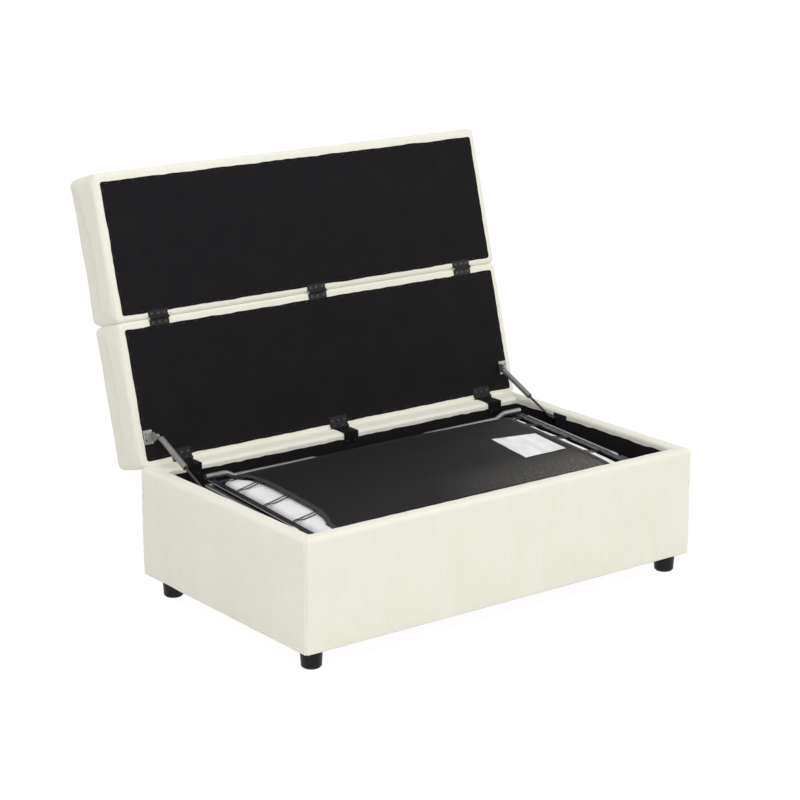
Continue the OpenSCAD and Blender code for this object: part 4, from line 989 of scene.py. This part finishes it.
def makeLink():
    c = linkSize
    h, far = c["wide"] / 2, c["long"]
    path = []
    for a in np.radians(np.linspace(90, 270, 9)):
        path.append((h * math.cos(a), h * math.sin(a), 0.0))
    path += [(x, -h, 0.35 * math.sin(x / 8.0)) for x in np.linspace(8, far - 16, 6)]
    path += [(far - 8, -h * 0.6, 0.6), (far - 3, -h * 0.55, 1.8), (far + 3, -h * 0.5, 1.2),
             (far + 6, -h * 0.4, -2.0), (far + 6, h * 0.4, -2.0), (far + 3, h * 0.5, 1.2),
             (far - 3, h * 0.55, 1.8), (far - 8, h * 0.6, 0.6)]
    path += [(x, h, 0.35 * math.sin(x / 8.0)) for x in np.linspace(far - 16, 8, 6)]
    return tubeAlong("wireLink", path, c["wire"], 8, True)


wireLink = makeLink()


def linkSpots(begin, hemEdge, rail, railZ):
    # hemEdge(side, y) is the place of the hem's outer edge; the wires run a little aslant
    spots = []
    for s in (-1, 1):
        for y, slant in zip(deckSize["links"], reversed(linkSize["slant"])):
            y += begin
            x, z = hemEdge(s, y + slant)
            start = Vector((x - s * linkSize["tuck"], y + slant, z))
            end = Vector((s * rail, y, railZ))
            way = (end - start).normalized()
            longer = (end - start).length / linkSize["long"]
            spots.append((tuple(start), (-way.z * s, 0, abs(way.x)), tuple(way), longer))
    return spots


def middleEdge(side, y):
    x, _, z = hemPoint(side, side, deckShare(y))
    return x, z


for name, begin, edge, rail, railZ, frameMatrix, body, node in (
        ("middleLinks", 0, middleEdge, 485.0, 289.0, packFrame, "bed_middle", "middle_links"),
        ("headLinks", -18, lambda side, y: (side * 450.0, 89.4), 491.0, 89.4, partFrame, "bed_head",
         "head_links"),
        ("footLinks", -10, lambda side, y: (side * 411.0, 166.4), 455.0, 166.4, packFrame, "bed_middle",
         "foot_links")):
    spots = linkSpots(begin, edge, rail, railZ)
    piece = setOnPoints(name, wireLink, spots, frameMatrix, body, finishes["linkWire"])
    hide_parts(node)

# a bright zinc strip along the outer arris of each upper rail: a painted highlight
arris = tubeAlong("railArris", [(509.2, y, 287.6) for y in np.linspace(-171, 222, 12)], 1.3, 6)
# painted highlight: bright zinc along the black rail's edge
arris.data.materials.append(finishes["zinc"])
mirrored = arris.data.copy()
mirrored.transform(Matrix.Diagonal((-1, 1, 1, 1)))
mirrored.flip_normals()
for piece in (arris, linkObject("railArrisLeft", mirrored)):
    piece.data.transform(packFrame @ metres)
    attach(piece, "bed_middle")

# screws of the hinges, lugs and brackets
hingeXs = (-490, 0, 490)
down = (0, 0, -1)
fromLeafMiddle = (-19, 0, 19)
fromStrapMiddle = (-11.25, 11.25)
leafZ = 0.6
lidScrews = [((x + s, -17 - abs(s) / 19, leafZ), down, (1, 0.3, 0)) for x in hingeXs for s in fromLeafMiddle]
lidScrews += [((x + s, -353, leafZ), down, (1, 0.5, 0)) for x in hingeXs for s in fromLeafMiddle]
frontScrews = [((x + s, -376, leafZ), down, (1, 0.2, 0)) for x in hingeXs for s in fromLeafMiddle]
strapScrews = [((x + s, 336.25, 334), (0, 0, 1), (1, 0.4, 0)) for x in hingeXs for s in fromStrapMiddle]
strapScrews += [((x + s, 308.5, 308), (0, -1, 0), (1, 0, 0.4)) for x in hingeXs for s in fromStrapMiddle]
# the strut brackets' own screws
strapScrews += [((s * 568.5, y, 310), (-s, 0, 0), (0, 1, 0.3)) for s in (-1, 1) for y in (110.5, 124.3)]
for name, spots, frameMatrix, body in (("lidRearScrews", lidScrews, lidFrame, "lid_rear"),
                                       ("lidFrontScrews", frontScrews, lidFrame, "lid_front"),
                                       ("baseScrews", strapScrews, partFrame, "base")):
    setOnPoints(name, screwHead, spots, frameMatrix, body, finishes["screw"])

# staples along the lining edges; each row starts a little away from the corners
stapleRows = {"inset": 5.5, "z": 1.55, "alongX": (12, 31), "alongY": (16, 8)}


def rowPlaces(half, begin, count):
    return [-half + begin + (2 * half - 2 * begin) * k / (count - 1) for k in range(count)]


for name, (near, far) in liningSpans.items():
    a, b = liningSize["halfX"] - stapleRows["inset"], (far - near) / 2 - stapleRows["inset"]
    mid, z = -(near + far) / 2, stapleRows["z"]
    spots = []
    for x in rowPlaces(a, *stapleRows["alongX"]):
        spots += [((x, mid + b, z), down, (1, 0.1, 0)), ((x, mid - b, z), down, (1, -0.1, 0))]
    for y in rowPlaces(b, *stapleRows["alongY"]):
        spots += [((a, mid + y, z), down, (0.1, 1, 0)), ((-a, mid + y, z), down, (-0.1, 1, 0))]
    setOnPoints("lid" + name + "Staples", staple, spots, lidFrame, "lid_" + name.lower(), finishes["screw"])

# two rows of stitches on each side hem of the upper sheet
hemSpots = []
for side in (-1, 1):
    for across in (-0.55, 0.75):
        for v in np.linspace(-0.97, 0.97, 52):
            x, y, z = hemPoint(side, side * across, v)
            hemSpots.append(((x, y, z + 0.1), (0, 0, 1), (0.05, 1, 0)))
setOnPoints("hemStitches", stitch, hemSpots, packFrame, "bed_middle", finishes["hem"])
for shape in (screwHead, staple, stitch, wireLink):
    bpy.data.objects.remove(shape)
print("links, screws, staples and stitches set")

# plain studio: pale floor that keeps its shadow, white behind, big soft lamps
studio = {"world": 0.645, "overhead": 56.0, "front": 34.0, "right": 34.0, "floorLift": 0.93, "glow": 1.04}


def seenDirectly(tree):
    # 1 for rays from the camera, and for those that metal sends on
    rays = addNode(tree, "ShaderNodeLightPath")
    mirrored = mathOf(tree, "MAXIMUM", rays.outputs["Is Glossy Ray"], rays.outputs["Is Transmission Ray"])
    return mathOf(tree, "MAXIMUM", rays.outputs["Is Camera Ray"], mirrored)


floorMaterial, floorTree, floorShader = startMaterial("paleFloor", "#f4f4f3", 0.9)
glow = addNode(floorTree, "ShaderNodeEmission", {}, {"Color": (1, 1, 1, 1), "Strength": studio["glow"]})
share = times(floorTree, seenDirectly(floorTree), studio["floorLift"])
blend = addNode(floorTree, "ShaderNodeMixShader", {},
                {0: share, 1: floorShader.outputs[0], 2: glow.outputs[0]})
floorTree.links.new(blend.outputs[0], floorTree.nodes["Material Output"].inputs["Surface"])
floorMesh = bpy.data.meshes.new("floor")
floorMesh.from_pydata([(-20, -20, 0), (20, -20, 0), (20, 20, 0), (-20, 20, 0)], [], [(0, 1, 2, 3)])
floorMesh.materials.append(floorMaterial)
floor = linkObject("floor", floorMesh)

world = bpy.data.worlds.new("studio")
bpy.context.scene.world = world
world.use_nodes = True
worldTree = world.node_tree
worldTree.nodes.clear()
lit = addNode(worldTree, "ShaderNodeBackground", {}, {"Color": (1, 1, 1, 1), "Strength": studio["world"]})
shown = addNode(worldTree, "ShaderNodeBackground", {}, {"Color": (1, 1, 1, 1), "Strength": 1.0})
blend = addNode(worldTree, "ShaderNodeMixShader", {},
                {0: seenDirectly(worldTree), 1: lit.outputs[0], 2: shown.outputs[0]})
addNode(worldTree, "ShaderNodeOutputWorld", {}, {"Surface": blend.outputs[0]})


def softLamp(name, place, aim, size, power):
    data = bpy.data.lights.new(name, "AREA")
    data.energy, data.size = power, size
    lamp = linkObject(name, data)
    lamp.location = place
    lamp.rotation_euler = (Vector(aim) - Vector(place)).to_track_quat("-Z", "Y").to_euler()


softLamp("overheadLamp", (-1.8, -1.0, 3.9), (0, 0, 0.3), 3.0, studio["overhead"])
softLamp("frontLamp", (-1.2, -3.8, 3.0), (0, 0, 0.3), 2.6, studio["front"])
softLamp("rightLamp", (3.2, -2.4, 2.2), (0, 0, 0.3), 2.6, studio["right"])
print("studio set")
